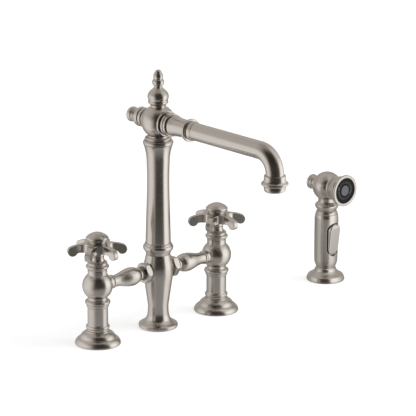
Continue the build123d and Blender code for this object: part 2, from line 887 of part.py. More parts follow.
swivel_top = HOLDER_TOP + SWIVEL_HEIGHT
with BuildPart() as hose_coupling:
    turn(
        spray_axis,
        [
            (SPRAY_WATER_R, COUPLING_BOTTOM),
            (HOSE_NIPPLE_R, COUPLING_BOTTOM),
            (HOSE_NIPPLE_R, -DECK - 2),
            (SPRAY_BORE_R - CLEAR, -DECK),
            (SPRAY_BORE_R - CLEAR, HOLDER_TOP),
            (SWIVEL_R, HOLDER_TOP),
            (SWIVEL_R, swivel_top),
            (SPRAY_WATER_R, swivel_top),
        ],
    )
save(hose_coupling, "hose_coupling")

pocket_middle = (POCKET_BOTTOM + POCKET_TOP) / 2
pocket_height = POCKET_TOP - POCKET_BOTTOM
front = Plane(origin=(SPRAY_X, -POCKET_FLOOR, 0), x_dir=(1, 0, 0), z_dir=(0, -1, 0))
pin_plane = Plane(
    origin=(SPRAY_X, TRIGGER_PIN_Y, TRIGGER_PIN_Z), x_dir=(0, 1, 0), z_dir=(1, 0, 0)
)
with BuildPart() as spray_grip:
    turn(
        spray_axis,
        [
            (0, GRIP_BOTTOM),
            (13.4, GRIP_BOTTOM, 0.9),
            (16.0, GRIP_BOTTOM + 9.3),
            (GRIP_R, GRIP_BOTTOM + 35),
            (GRIP_R, GRIP_TOP - 12.8, 0.3),
            (15.4, GRIP_TOP - 5.0),
            (14.8, GRIP_TOP - 4.7),
            (15.2, GRIP_TOP - 4.2),
            (13.0, GRIP_TOP),
            (0, GRIP_TOP),
        ],
    )
    drill(spray_axis, SWIVEL_R + RUNNING, GRIP_BOTTOM, swivel_top + PLAY)
    drill(spray_axis, SPRAY_WATER_R, swivel_top, GRIP_TOP)
    with BuildSketch(front):
        with Locations((0, pocket_middle)):
            SlotOverall(pocket_height, POCKET_WIDTH, rotation=90)
    extrude(amount=GRIP_R, mode=Mode.SUBTRACT)
    with BuildSketch(pin_plane):
        Circle(TRIGGER_PIN_R)
    extrude(amount=TRIGGER_PIN_HALF, both=True, mode=Mode.SUBTRACT)
save(spray_grip, "spray_grip")

trigger_bottom = POCKET_BOTTOM + TRIGGER_GAP
trigger_top = POCKET_TOP - TRIGGER_GAP
with BuildPart() as trigger:
    with BuildSketch(front):
        with Locations((0, pocket_middle)):
            SlotOverall(
                trigger_top - trigger_bottom, POCKET_WIDTH - 2 * TRIGGER_GAP, rotation=90
            )
    extrude(amount=GRIP_R)
    side_plane = Plane(origin=(SPRAY_X, 0, 0), x_dir=(0, 1, 0), z_dir=(1, 0, 0))
    with BuildSketch(side_plane) as trigger_side:
        with BuildLine():
            Polyline(
                (-TRIGGER_BACK, trigger_bottom),
                (-TRIGGER_BACK, trigger_top),
                (1.7 - TRIGGER_FRONT, trigger_top),
                (-TRIGGER_FRONT, trigger_top - 3.6),
                (4.9 - TRIGGER_FRONT, trigger_bottom + 1.5),
                (5.9 - TRIGGER_FRONT, trigger_bottom),
                close=True,
            )
        make_face()
    extrude(amount=POCKET_WIDTH, both=True, mode=Mode.INTERSECT)
    with BuildSketch(pin_plane):
        Circle(TRIGGER_PIN_R + RUNNING)
    extrude(amount=POCKET_WIDTH, both=True, mode=Mode.SUBTRACT)
save(trigger, "trigger")

with BuildPart() as trigger_pin:
    with BuildSketch(pin_plane):
        Circle(TRIGGER_PIN_R)
    extrude(amount=TRIGGER_PIN_HALF, both=True)
save(trigger_pin, "trigger_pin")

with BuildPart() as spray_neck:
    turn(
        spray_axis,
        [
            (SPRAY_WATER_R, GRIP_TOP),
            (13.0, GRIP_TOP, 0.35),
            (16.2, GRIP_TOP + 6.8, 0.6),
            (11.8, GRIP_TOP + 12.4),
            (11.8, NECK_TOP),
            (SPRAY_WATER_R, NECK_TOP),
        ],
    )
save(spray_neck, "spray_neck")

SPRAY_KNOB_SEAT = 18.6
with BuildPart() as spray_head:
    with Locations((SPRAY_X, 0, HEAD_Z)):
        Sphere(HEAD_R)
    head_height = HEAD_Z + HEAD_R - NECK_TOP
    with Locations((SPRAY_X, (SPRAY_KNOB_SEAT - NOZZLE_SEAT) / 2, NECK_TOP + head_height / 2)):
        Box(2 * HEAD_R, SPRAY_KNOB_SEAT + NOZZLE_SEAT, head_height, mode=Mode.INTERSECT)
    drill(spray_axis, SPRAY_WATER_R, NECK_TOP, HEAD_Z)
    drill(nozzle, TUBE_BORE_R, 0, NOZZLE_SEAT)
    drill(backward(SPRAY_X, HEAD_Z), KNOB_STUD_R, SPRAY_KNOB_SEAT - KNOB_STUD, SPRAY_KNOB_SEAT)
save(spray_head, "spray_head")

with BuildPart() as spray_knob:
    turn(
        backward(SPRAY_X, HEAD_Z),
        [
            (0, SPRAY_KNOB_SEAT - KNOB_STUD),
            (KNOB_STUD_R, SPRAY_KNOB_SEAT - KNOB_STUD),
            (KNOB_STUD_R, SPRAY_KNOB_SEAT),
            (8.4, SPRAY_KNOB_SEAT),
            (7.2, SPRAY_KNOB_SEAT + 1.8, -0.5),
            (10.3, SPRAY_KNOB_SEAT + 8.9),
            (10.3, SPRAY_KNOB_SEAT + 10.2, dome(10.3, 3.4)),
            (0, SPRAY_KNOB_SEAT + 13.6),
        ],
    )
save(spray_knob, "spray_knob")

with BuildPart() as nozzle_bell:
    turn(
        nozzle,
        [
            (TUBE_BORE_R, NOZZLE_SEAT),
            (15.5, NOZZLE_SEAT),
            (15.5, NOZZLE_SEAT + 3.6),
            (14.9, NOZZLE_SEAT + 4.0),
            (15.8, NOZZLE_SEAT + 4.6, 0.8),
            (FACE_R + 1.9, FACE_SEAT),
            (FACE_R + 1.9, FACE_SEAT + 1.6),
            (FACE_R + 4.1, FACE_SEAT + 2.6),
            (FACE_R + 4.1, FACE_SEAT + 4.7),
            (FACE_R + 3.3, FACE_SEAT + 5.5),
            (FACE_R, FACE_SEAT + 5.5),
            (FACE_R, FACE_SEAT),
            (TUBE_BORE_R, FACE_SEAT),
        ],
    )
save(nozzle_bell, "nozzle_bell")

with BuildPart() as spray_face:
    face_front = Plane(
        origin=(SPRAY_X, -FACE_SEAT - FACE, HEAD_Z), x_dir=(1, 0, 0), z_dir=(0, -1, 0)
    )
    with BuildSketch(face_front):
        Circle(FACE_R)
        Circle(CORE_R, mode=Mode.SUBTRACT)
    extrude(amount=-FACE)
    with BuildSketch(face_front):
        with PolarLocations(SLOT_RING_R, NOZZLE_SLOTS):
            Rectangle(SLOT_LENGTH, SLOT_WIDTH)
    extrude(amount=-SLOT_DEPTH, mode=Mode.SUBTRACT)
save(spray_face, "spray_face")

with BuildPart() as nozzle_core:
    turn(
        nozzle,
        [
            (0, FACE_SEAT),
            (CORE_R, FACE_SEAT),
            (CORE_R, FACE_SEAT + FACE),
            (CORE_R - 0.8, FACE_SEAT + FACE + 0.6),
            (0, FACE_SEAT + FACE + 0.6),
        ],
    )
save(nozzle_core, "nozzle_core")

# ---------------------------------------------------------------- fixings on the deck
SHANKS = {0.0: SHANK_R, SPRAY_X: HOLDER_SHANK_R, -VALVE_X: VALVE_SHANK_R, VALVE_X: VALVE_SHANK_R}
with BuildPart() as deck_gaskets:
    for x, (inner, outer) in GASKET_RINGS.items():
        turn(upright(x), [(inner, 0), (outer, 0), (outer, GASKET), (inner, GASKET)])
save(deck_gaskets, "deck_gaskets")

with BuildPart() as deck_washers:
    for x, radius in SHANKS.items():
        turn(
            upright(x),
            [
                (radius + THREAD, -DECK - DECK_WASHER),
                (radius + WASHER_RIM, -DECK - DECK_WASHER),
                (radius + WASHER_RIM, -DECK),
                (radius + THREAD, -DECK),
            ],
        )
save(deck_washers, "deck_washers")

with BuildPart() as lock_nuts:
    for x, radius in SHANKS.items():
        with BuildSketch(Plane((x, 0, -DECK - DECK_WASHER - LOCK_NUT))):
            RegularPolygon((radius + NUT_WALL) * 2 / sqrt(3), 6)
            Circle(radius + THREAD, mode=Mode.SUBTRACT)
    extrude(amount=LOCK_NUT)
save(lock_nuts, "lock_nuts")
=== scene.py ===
"""Bridge kitchen faucet with a side spray: its visible surfaces, finishes and studio.

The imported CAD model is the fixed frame. Sizes here are in millimetres in that frame: +Z is up,
the front is -Y and the origin is the middle of the column's foot on the deck. Each visible piece
is a surface worked out with numpy, with softened edges, and takes the place of its CAD node.
"""

import json
import logging
from dataclasses import dataclass, field
from enum import Enum
from math import cos, hypot, pi, radians, sin, sqrt

import bpy
import numpy as np
from mathutils import Matrix, Vector

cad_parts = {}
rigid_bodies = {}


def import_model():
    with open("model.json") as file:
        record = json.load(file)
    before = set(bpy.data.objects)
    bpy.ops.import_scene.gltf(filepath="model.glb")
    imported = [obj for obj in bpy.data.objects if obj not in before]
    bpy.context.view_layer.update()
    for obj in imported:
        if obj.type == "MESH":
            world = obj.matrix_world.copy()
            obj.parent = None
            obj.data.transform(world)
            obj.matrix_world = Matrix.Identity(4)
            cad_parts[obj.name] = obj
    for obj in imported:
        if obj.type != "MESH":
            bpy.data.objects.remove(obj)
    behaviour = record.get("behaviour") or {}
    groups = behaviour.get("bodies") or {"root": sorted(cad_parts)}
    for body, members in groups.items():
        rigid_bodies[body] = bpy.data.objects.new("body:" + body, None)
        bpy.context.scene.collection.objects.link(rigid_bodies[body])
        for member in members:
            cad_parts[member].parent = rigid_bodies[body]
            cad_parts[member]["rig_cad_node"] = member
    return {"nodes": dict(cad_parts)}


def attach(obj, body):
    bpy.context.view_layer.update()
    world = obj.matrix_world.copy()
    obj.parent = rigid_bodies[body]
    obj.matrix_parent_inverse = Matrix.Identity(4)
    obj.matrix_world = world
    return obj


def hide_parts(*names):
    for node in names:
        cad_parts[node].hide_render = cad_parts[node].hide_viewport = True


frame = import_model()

LOG = logging.getLogger("faucet")
MM = 0.001
TURN_STEP = radians(10)  # between rows of a turned surface that bends
LENGTH_STEP = 4.0  # between rows of a turned surface that runs straight
FINE_STEP = 0.04  # of an outline while its corners are softened
FEWEST_STEPS = 64  # of such an outline
BOW_STEPS = 48  # of each bow in an outline
BELL_REACH = 4  # widths that a bell curve is followed each way
SEGMENTS = 96  # columns round a turned piece
WELD_CELLS = 1000  # to a millimetre; places in one cell are one vertex
WELD_SHIFT = 0.317  # of the cells, so that round numbers don't lie on their borders
LAY = "lay"  # vertex attribute that the brushing follows
ROOT, ARM, HANDSET = "faucet_body", "spout_arm", "handset"
BRIDGE_HEIGHT = 77.0
VALVE_X = 101.6  # from the column to each valve

Array = np.ndarray
Points = list[tuple[float, ...]]
Stops = list[tuple[float, float]]
Triple = tuple[float, float, float]
Tree = bpy.types.NodeTree
Socket = bpy.types.NodeSocket
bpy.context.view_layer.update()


# ---------------------------------------------------------------- finishes
class Finish(Enum):
    """The materials of the pieces, by the slot of the record that each one belongs to."""

    NICKEL = "brushed_nickel"
    BRASS = "brass"
    ZINC = "zinc_plated_steel"
    MESH = "steel_mesh"
    RUBBER = "black_rubber"
    BLACK_PLASTIC = "black_plastic"
    GREY_PLASTIC = "grey_plastic"
    ACETAL = "acetal"


def linear(hex_colour: str) -> tuple[float, float, float, float]:
    """Turns an sRGB colour into Blender's linear one.

    Args:
        hex_colour: The colour as "#RRGGBB".

    Returns:
        Red, green and blue in linear light, and an alpha of 1.
    """
    srgb = np.array([int(hex_colour[i : i + 2], 16) / 255 for i in (1, 3, 5)])
    light = np.where(srgb <= 0.04045, srgb / 12.92, ((srgb + 0.055) / 1.055) ** 2.4)
    return (*light.tolist(), 1.0)


def add_node(
    tree: Tree, kind: str, inputs: dict[str | int, object] | None = None,
    output: str | int = 0, **settings: object,
) -> Socket | None:
    """Adds one node with its settings, and sets or links its inputs.

    Args:
        tree: The tree that gets the node.
        kind: The node's type without its leading "ShaderNode".
        inputs: Value, or the socket to link, for each input by name or number.
        output: Name or number of the output that is wanted.
        **settings: Properties of the node.

    Returns:
        That output, or None where the node has none.
    """
    node = tree.nodes.new(f"ShaderNode{kind}")
    for name, value in settings.items():
        setattr(node, name, value)
    for name, value in (inputs or {}).items():
        if isinstance(value, Socket):
            tree.links.new(value, node.inputs[name])
        else:
            node.inputs[name].default_value = value
    return node.outputs[output] if len(node.outputs) else None


def new_tree(name: str) -> tuple[bpy.types.Material, Tree]:
    """Makes an empty node material.

    Args:
        name: The material's name.

    Returns:
        The material and its tree.
    """
    material = bpy.data.materials.new(name)
    material.use_nodes = True
    material.node_tree.nodes.clear()
    return material, material.node_tree


@dataclass(frozen=True)
class Recipe:
    """What every finish has: a name, a colour, a roughness and a fine relief."""

    name: str
    colour: str
    roughness: float
    spacing: float  # of the relief's lines or grains in mm
    depth: float  # of the relief in mm

    def noise(self, tree: Tree, turned: bool) -> Socket:
        """Adds the noise that the relief follows; each kind of finish has its own."""
        raise NotImplementedError

    def inputs(self, tree: Tree, noise: Socket) -> dict[str, object]:
        """Gives the shader's inputs; each kind of finish has its own."""
        raise NotImplementedError

    def material(self, turned: bool) -> bpy.types.Material:
        """Builds the material, with its relief and what goes with it from one noise.

        Args:
            turned: Whether the piece carries the attribute of the brushing.

        Returns:
            The material.
        """
        material, tree = new_tree(self.name + ("" if turned else "_plain"))
        noise = self.noise(tree, turned)
        relief = {"Height": noise, "Strength": 1.0, "Distance": self.depth * MM}
        inputs = {**self.inputs(tree, noise), "Normal": add_node(tree, "Bump", relief)}
        shader = add_node(tree, "BsdfPrincipled", inputs)
        add_node(tree, "OutputMaterial", {"Surface": shader})
        return material


@dataclass(frozen=True)
class BrushedMetal(Recipe):
    """A metal that was turned, then brushed round its axis, so fine lines ring it."""

    spread: float = 0.05  # change of the roughness from line to line

    def noise(self, tree: Tree, turned: bool) -> Socket:
        """Adds the lines, a noise that is stretched round the piece.

        It reads the attribute that holds the angle round the piece and the distance along its
        outline, or the Object coordinates of a piece that has none.

        Args:
            tree: The material's tree.
            turned: Whether the piece carries the attribute.

        Returns:
            The noise.
        """
        if turned:
            place = add_node(tree, "Attribute", output="Vector", attribute_name=LAY)
            scale = (0.5, 0.5, 1 / self.spacing)
        else:
            place = add_node(tree, "TexCoord", output="Object")
            scale = (30.0, 30.0, 1 / (self.spacing * MM))
        lines = add_node(tree, "Mapping", {"Vector": place, "Scale": scale})
        inputs = {"Vector": lines, "Scale": 1.0, "Detail": 1.0, "Roughness": 0.5}
        return add_node(tree, "TexNoise", inputs)

    def inputs(self, tree: Tree, noise: Socket) -> dict[str, object]:
        """Gives the shader's inputs: the roughness changes with the lines.

        Args:
            tree: The material's tree.
            noise: The lines.

        Returns:
            Value or socket of each input.
        """
        rough = add_node(tree, "MapRange", {
            "Value": noise, "From Min": 0.25, "From Max": 0.75,
            "To Min": self.roughness - self.spread, "To Max": self.roughness + self.spread,
        })
        return {"Base Color": linear(self.colour), "Metallic": 1.0, "Roughness": rough}


@dataclass(frozen=True)
class Moulded(Recipe):
    """A moulded plastic or rubber: a body colour with the fine grain of its mould, darker in the
    grain's low places as painted shade.
    """

    shade: str  # the darker colour that the grain's low places tend to: painted shade in its pits
    ior: float = 1.5

    def noise(self, tree: Tree, turned: bool) -> Socket:
        """Adds the grain, a noise over the Object coordinates of every piece.

        Args:
            tree: The material's tree.
            turned: Whether the piece was turned; not used, as a mould's grain doesn't show it.

        Returns:
            The noise.
        """
        place = add_node(tree, "TexCoord", output="Object")
        scale = 1 / (self.spacing * MM)
        inputs = {"Vector": place, "Scale": scale, "Detail": 4.0, "Roughness": 0.6}
        return add_node(tree, "TexNoise", inputs)

    def inputs(self, tree: Tree, noise: Socket) -> dict[str, object]:
        """Gives the shader's inputs: the colour changes with the grain, darker in its low places
        as painted shade.

        Args:
            tree: The material's tree.
            noise: The grain.

        Returns:
            Value or socket of each input.
        """
        # Painted shade: the grain's low places take the darker colour
        pit_shade_mix = {"Factor": noise, "A": linear(self.shade), "B": linear(self.colour)}
        colour = add_node(tree, "Mix", pit_shade_mix, "Result", data_type="RGBA")
        return {"Base Color": colour, "Roughness": self.roughness, "IOR": self.ior}


class Palette:
    """The finishes of this faucet, each built once for turned pieces and once for the others."""

    RECIPES = {
        # Satin nickel plating over turned and brushed brass: warm light grey, blurred reflections.
        # Its lines are drawn coarser than they are, because the real ones are too fine to show.
        Finish.NICKEL: BrushedMetal("brushed_nickel_plating", "#CCC7C1", 0.23, 2.6, 0.0012, 0.015),
        # Bare machined brass, below the deck, in the passages and on the spray's coupling
        Finish.BRASS: BrushedMetal("machined_brass", "#C9A667", 0.3, 0.8, 0.004),
        # Zinc-plated steel washers, screws and pin: cool grey with a faint bloom
        Finish.ZINC: BrushedMetal("zinc_plated_steel", "#B9BCBF", 0.38, 1.5, 0.006, 0.1),
        # Woven stainless wire of the aerator
        Finish.MESH: BrushedMetal("stainless_wire_mesh", "#8F8F8F", 0.35, 0.6, 0.02, 0.1),
        # In each moulded finish below, the last colour is the painted shade of the grain's low
        # places
        # Nitrile rubber gaskets, moulded matt
        Finish.RUBBER: Moulded("nitrile_rubber", "#1B1B1C", 0.75, 0.6, 0.02, "#141415"),
        # Black face of the spray, moulded with a fine spark-eroded grain that keeps it matt
        Finish.BLACK_PLASTIC: Moulded(
            "black_moulded_plastic", "#0B0C0D", 0.7, 0.5, 0.01, "#070808", 1.42
        ),
        # Grey silicone nozzles and centre, which look soft
        Finish.GREY_PLASTIC: Moulded("grey_silicone", "#6E6F72", 0.6, 0.5, 0.01, "#626366", 1.42),
        # Machined white acetal bushing
        Finish.ACETAL: Moulded("white_acetal", "#E4E2DC", 0.4, 0.5, 0.008, "#DAD8D2"),
    }

    def __init__(self) -> None:
        """Builds nothing yet: a material is made when a piece first needs it."""
        self.made: dict[tuple[Finish, bool], bpy.types.Material] = {}

    def paint(self, piece: bpy.types.Object, finish: Finish) -> None:
        """Gives a piece its material.

        Args:
            piece: A new piece or a CAD node.
            finish: The finish.
        """
        key = (finish, LAY in piece.data.attributes)
        if key not in self.made:
            self.made[key] = self.RECIPES[finish].material(key[1])
        if len(piece.material_slots):
            for place in piece.material_slots:
                place.material = self.made[key]
        else:
            piece.data.materials.append(self.made[key])


# ---------------------------------------------------------------- curves
def trace(points: Points, closed: bool) -> Array:
    """Draws an outline of straight edges and bows.

    A bow is the arc of the circle through both ends of its edge that stands off the chord by
    the third number of the edge's first point, to the right of the way that the outline goes.

    Args:
        points: (radius, distance along the axis[, bow]) of each corner.
        closed: Whether the last corner is joined to the first.

    Returns:
        The places along the outline, (n, 2).
    """
    runs = []
    for start, end in zip(points, points[1:] + points[:1] if closed else points[1:]):
        a, chord = np.array(start[:2]), np.subtract(end[:2], start[:2])
        length, bow = hypot(*chord), start[2] if len(start) > 2 else 0.0
        if bow == 0 or length == 0:
            runs.append(a[None])
            continue
        radius = (length**2 / 4 + bow**2) / (2 * abs(bow))
        half = 2 * np.arctan2(2 * abs(bow), length)
        angle = np.linspace(-half, half, BOW_STEPS + 1)[:-1, None]
        ahead = chord / length
        aside = np.array([ahead[1], -ahead[0]]) * np.sign(bow)
        sagitta = radius * np.cos(angle) - radius + abs(bow)
        runs.append(a + chord / 2 + radius * np.sin(angle) * ahead + sagitta * aside)
    if not closed:
        runs.append(np.array(points[-1][:2])[None])
    return np.vstack(runs)


def run_length(path: Array) -> Array:
    """Distance along a path, (n, 2), from its start to each of its places."""
    return np.concatenate([[0], np.cumsum(np.hypot(*np.diff(path, axis=0).T))])


def sample(at: Array, base: Array, values: Array) -> Array:
    """Reads every column of some values, which are given at the base's places, at others."""
    return np.stack([np.interp(at, base, column) for column in values.T], axis=1)


def bell_curve(width: float, step: float, reach: int) -> Array:
    """Weights of a bell curve with a sum of 1, one step apart and so many steps each way."""
    bell = np.exp(-0.5 * (np.arange(-reach, reach + 1) * step / width) ** 2)
    return bell / bell.sum()


def smooth(path: Array, bell: Array, closed: bool) -> Array:
    """Makes each place of a path the mean of its neighbours, weighted by a bell curve.

    A closed path goes round. An open one starts and ends on the axis, where it goes on as its
    mirror image.

    Args:
        path: Evenly spaced places, (n, 2). A closed path ends on its first place.
        bell: The weights.
        closed: Whether the path is a loop.

    Returns:
        The softened path, as long as the other.
    """
    reach = len(bell) // 2
    if closed:
        wide = [np.pad(path[:-1, k], (reach, reach + 1), "wrap") for k in (0, 1)]
    else:
        wide = [
            np.pad(path[:, 0], reach, "reflect", reflect_type="odd"),
            np.pad(path[:, 1], reach, "reflect"),
        ]
    return np.stack([np.convolve(values, bell, "valid") for values in wide], axis=1)


@dataclass
class Outline:
    """A softened outline: places, normals and distance along it, and whether it is a loop."""

    places: Array
    normals: Array
    along: Array
    closed: bool


def soften(
    points: Points, softness: float, closed: bool,
    turn_step: float = TURN_STEP, length_step: float = LENGTH_STEP,
) -> Outline:
    """Rounds an outline's corners and spreads its points where it bends.

    The outline is divided into equal short steps and softened by a bell curve. The rows are
    then spread evenly over the sum of the angle turned and the length run.

    Args:
        points: (radius, distance along the axis[, bow]) of each corner. An open outline starts
            and ends on the axis.
        softness: Width of the bell curve in mm, about the radius of a softened corner.
        closed: Whether the outline is a loop.
        turn_step: Angle between rows where it bends.
        length_step: Distance between rows where it runs straight.

    Returns:
        The softened outline.
    """
    path = trace(points, closed)
    if closed:
        path = np.vstack([path, path[:1]])
    runs = run_length(path)
    at = np.linspace(0, runs[-1], max(int(runs[-1] / FINE_STEP), FEWEST_STEPS) + 1)
    step = at[1]
    bell = bell_curve(softness, step, max(int(BELL_REACH * softness / step), 1))
    soft = smooth(sample(at, runs, path), bell, closed)
    if closed:
        ahead = np.roll(soft[:-1], -1, 0) - np.roll(soft[:-1], 1, 0)
        ahead = np.vstack([ahead, ahead[:1]])
    else:
        soft[[0, -1], 0] = 0.0
        ahead = np.gradient(soft, axis=0)
        ahead[[0, -1], 1] = 0.0
    ahead /= np.maximum(np.hypot(*ahead.T)[:, None], 1e-12)
    heading = np.unwrap(np.arctan2(ahead[:, 1], ahead[:, 0]))
    gone = run_length(soft)
    bent = np.concatenate([[0], np.cumsum(np.abs(np.diff(heading)))])
    spread = bent / turn_step + gone / length_step
    count = int(np.ceil(spread[-1])) + 1
    number = np.arange(len(spread))
    rows = np.interp(np.linspace(0, spread[-1], count + 1), spread, number)
    if closed:
        rows = rows[:-1]
    x, y, turn, along = sample(rows, number, np.column_stack([soft, heading, gone])).T
    normals = np.stack([np.sin(turn), -np.cos(turn)], axis=1)
    return Outline(np.stack([x, y], axis=1), normals, along, closed)


# ---------------------------------------------------------------- surfaces
def grid(*parts: Array | float) -> Array:
    """Spreads the parts of a vector over each other's shapes, and puts them together."""
    return np.stack(np.broadcast_arrays(*parts), axis=-1)


def grid_normals(places: Array, rows_close: bool, columns_close: bool, outward: Array) -> Array:
    """Normals of a grid, as the cross product of its two directions at each place.

    Args:
        places: The grid, (n, m, 3).
        rows_close: Whether the last row joins the first.
        columns_close: Whether the last column joins the first.
        outward: Which way is roughly outwards, as one vector or one for each place.

    Returns:
        Unit normals that point outwards, (n, m, 3).
    """
    steps = []
    for axis, closes in ((0, rows_close), (1, columns_close)):
        if closes:
            steps.append(np.roll(places, -1, axis) - np.roll(places, 1, axis))
        else:
            steps.append(np.gradient(places, axis=axis))
    normals = np.cross(steps[1], steps[0])
    normals /= np.maximum(np.linalg.norm(normals, axis=2, keepdims=True), 1e-12)
    return normals if np.sum(normals * outward) > 0 else -normals


@dataclass(frozen=True)
class Axis:
    """The axis of a turned piece: a point on it, its direction, and the direction of angle 0."""

    origin: Triple
    direction: Triple = (0, 0, 1)
    start: Triple = (1, 0, 0)

    def vector(self, out: Array, angle: Array, along: Array | float) -> Array:
        """Gives vectors from their parts away from the axis and along it.

        Args:
            out: Part away from the axis.
            angle: Angle round the axis of that part.
            along: Part along the axis.

        Returns:
            The vectors, over the shape that the parts have together, and 3.
        """
        ahead, first = np.array(self.direction, float), np.array(self.start, float)
        out, angle, along = (part[..., None] for part in np.broadcast_arrays(out, angle, along))
        spoke = np.cos(angle) * first + np.sin(angle) * np.cross(ahead, first)
        return out * spoke + along * ahead

    def place(self, radius: Array, angle: Array, height: Array | float) -> Array:
        """Places at a radius, an angle round the axis and a height along it."""
        return np.array(self.origin, float) + self.vector(radius, angle, height)


def both_ways(height: float, x_part: float = 1.0) -> list[Axis]:
    """The level axes from the column to the left and to the right, at a height."""
    return [Axis((0, 0, height), (side * x_part, 0, 0), (0, 0, 1)) for side in (-1, 1)]


@dataclass
class Patch:
    """A grid of a surface: places, normals and the attribute of the brushing, each (n, m, 3).

    A patch that is closed joins its last row or column to its first.
    """

    places: Array
    normals: Array
    lay: Array
    rows_close: bool = False
    columns_close: bool = False

    def quads(self) -> Array:
        """Works out the quads' corners, in the order that faces the way of the normals.

        Returns:
            Four corner numbers for each quad.
        """
        rows, columns = self.places.shape[:2]
        ids = np.arange(rows * columns).reshape(rows, columns)
        if self.rows_close:
            ids = np.vstack([ids, ids[:1]])
        if self.columns_close:
            ids = np.hstack([ids, ids[:, :1]])
        corners = (ids[:-1, :-1], ids[:-1, 1:], ids[1:, 1:], ids[1:, :-1])
        quads = np.stack([c.ravel() for c in corners], axis=1)
        a, b, c, d = (self.places.reshape(-1, 3)[quads[:, k]] for k in range(4))
        lean = self.normals.reshape(-1, 3)[quads[:, 0]]
        return quads if np.sum(np.cross(c - a, d - b) * lean) > 0 else quads[:, ::-1]


def turned_patch(axis: Axis, outline: Outline, segments: int = SEGMENTS) -> Patch:
    """Turns an outline about an axis.

    A row's place is the axis at the outline's height, plus the outline's radius times the
    cosine and sine of the angle on the two radial directions.

    Args:
        axis: The axis.
        outline: The outline, which runs outwards, up and back inwards.
        segments: Columns round the axis.

    Returns:
        The patch, closed round the axis.
    """
    angle = np.arange(segments) * (2 * pi / segments)
    (radius, height), (out, up) = outline.places.T[..., None], outline.normals.T[..., None]
    lay = grid(np.cos(angle), np.sin(angle), outline.along[:, None])
    places, normals = axis.place(radius, angle, height), axis.vector(out, angle, up)
    return Patch(places, normals, lay, outline.closed, True)


def turned(axis: Axis, softness: float, points: Points, segments: int = SEGMENTS) -> Patch:
    """Softens and turns an outline; one that starts on the axis ends on it too."""
    return turned_patch(axis, soften(points, softness, points[0][0] > 0), segments)


def new_object(name: str, data: bpy.types.ID) -> bpy.types.Object:
    """Adds an object to the scene.

    Args:
        name: Its name.
        data: Its mesh, lamp or camera.

    Returns:
        The object, at the origin.
    """
    thing = bpy.data.objects.new(name, data)
    bpy.context.scene.collection.objects.link(thing)
    return thing


def make_piece(name: str, patches: list[Patch]) -> bpy.types.Object:
    """Joins patches into one closed mesh with its own normals.

    Places that fall within a micron of each other are one vertex, so seams and poles close, and
    a quad that has lost a corner that way becomes a triangle.

    Args:
        name: The piece's name.
        patches: The grids of its surface, in millimetres.

    Returns:
        The new object, at the origin.
    """
    offsets = np.cumsum([0] + [p.places.shape[0] * p.places.shape[1] for p in patches])
    places, normals, lay = (
        np.vstack([getattr(p, part).reshape(-1, 3) for p in patches])
        for part in ("places", "normals", "lay")
    )
    quads = np.vstack([p.quads() + start for p, start in zip(patches, offsets)])

    keys = np.floor(places * WELD_CELLS + WELD_SHIFT).astype(np.int64)
    _, first, inverse = np.unique(keys, axis=0, return_index=True, return_inverse=True)
    quads = inverse.ravel()[quads]
    keep = quads != np.roll(quads, -1, axis=1)
    whole = keep.sum(axis=1) > 2
    quads, keep = quads[whole], keep[whole]
    sizes, corners = keep.sum(axis=1), quads[keep]

    mesh = bpy.data.meshes.new(name)
    mesh.vertices.add(len(first))
    mesh.vertices.foreach_set("co", (places[first] * MM).astype(np.float32).ravel())
    mesh.loops.add(len(corners))
    mesh.loops.foreach_set("vertex_index", corners.astype(np.int32))
    mesh.polygons.add(len(sizes))
    starts = np.concatenate([[0], np.cumsum(sizes)[:-1]]).astype(np.int32)
    mesh.polygons.foreach_set("loop_start", starts)
    mesh.update(calc_edges=True)
    mesh.validate()
    mesh.polygons.foreach_set("use_smooth", np.ones(len(sizes), bool))
    attribute = mesh.attributes.new(LAY, "FLOAT_VECTOR", "POINT")
    attribute.data.foreach_set("vector", lay[first].astype(np.float32).ravel())
    lengths = np.linalg.norm(normals[first], axis=1, keepdims=True)
    mesh.normals_split_custom_set_from_vertices(normals[first] / np.maximum(lengths, 1e-9))
    return new_object(name, mesh)


# ---------------------------------------------------------------- sub-assemblies
@dataclass
class Piece:
    """A finished object with what it belongs to."""

    thing: bpy.types.Object
    body: str
    finish: Finish
    node: str


class Assembly:
    """A sub-assembly: its pieces are built first, then dressed and tied to their bodies."""

    NAMES = {"riser_tube": "riser", "aerator_housing": "aerator"}  # where they aren't the node's

    def __init__(self) -> None:
        """Starts with no pieces."""
        self.pieces: list[Piece] = []

    def add(
        self, name: str, patches: list[Patch], body: str, node: str,
        finish: Finish = Finish.NICKEL,
    ) -> None:
        """Makes one piece of patches, which stands for a CAD node."""
        self.pieces.append(Piece(make_piece(name, patches), body, finish, node))

    def turn(
        self, body: str, axes: list[Axis], outlines: dict[str, tuple[float, Points]],
        segments: int = SEGMENTS, finish: Finish = Finish.NICKEL, suffix: str = "turned",
    ) -> None:
        """Makes turned pieces, each of which stands for a CAD node.

        Args:
            body: The body that they ride on.
            axes: The axes of the copies that each piece is made of.
            outlines: Softness and outline of each node's piece.
            segments: Columns round the axis.
            finish: Their finish.
            suffix: Last word of their names.
        """
        for node, (softness, points) in outlines.items():
            patches = [turned(axis, softness, points, segments) for axis in axes]
            self.add(f"{self.NAMES.get(node, node)}_{suffix}", patches, body, node, finish)

    def dress(self, palette: Palette) -> None:
        """Ties each piece to its body, hides the CAD node it stands for and paints it.

        Args:
            palette: The finishes.
        """
        for piece in self.pieces:
            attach(piece.thing, piece.body)
            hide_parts(piece.node)
            palette.paint(piece.thing, piece.finish)
            LOG.info("%s rides on %s", piece.thing.name, piece.body)


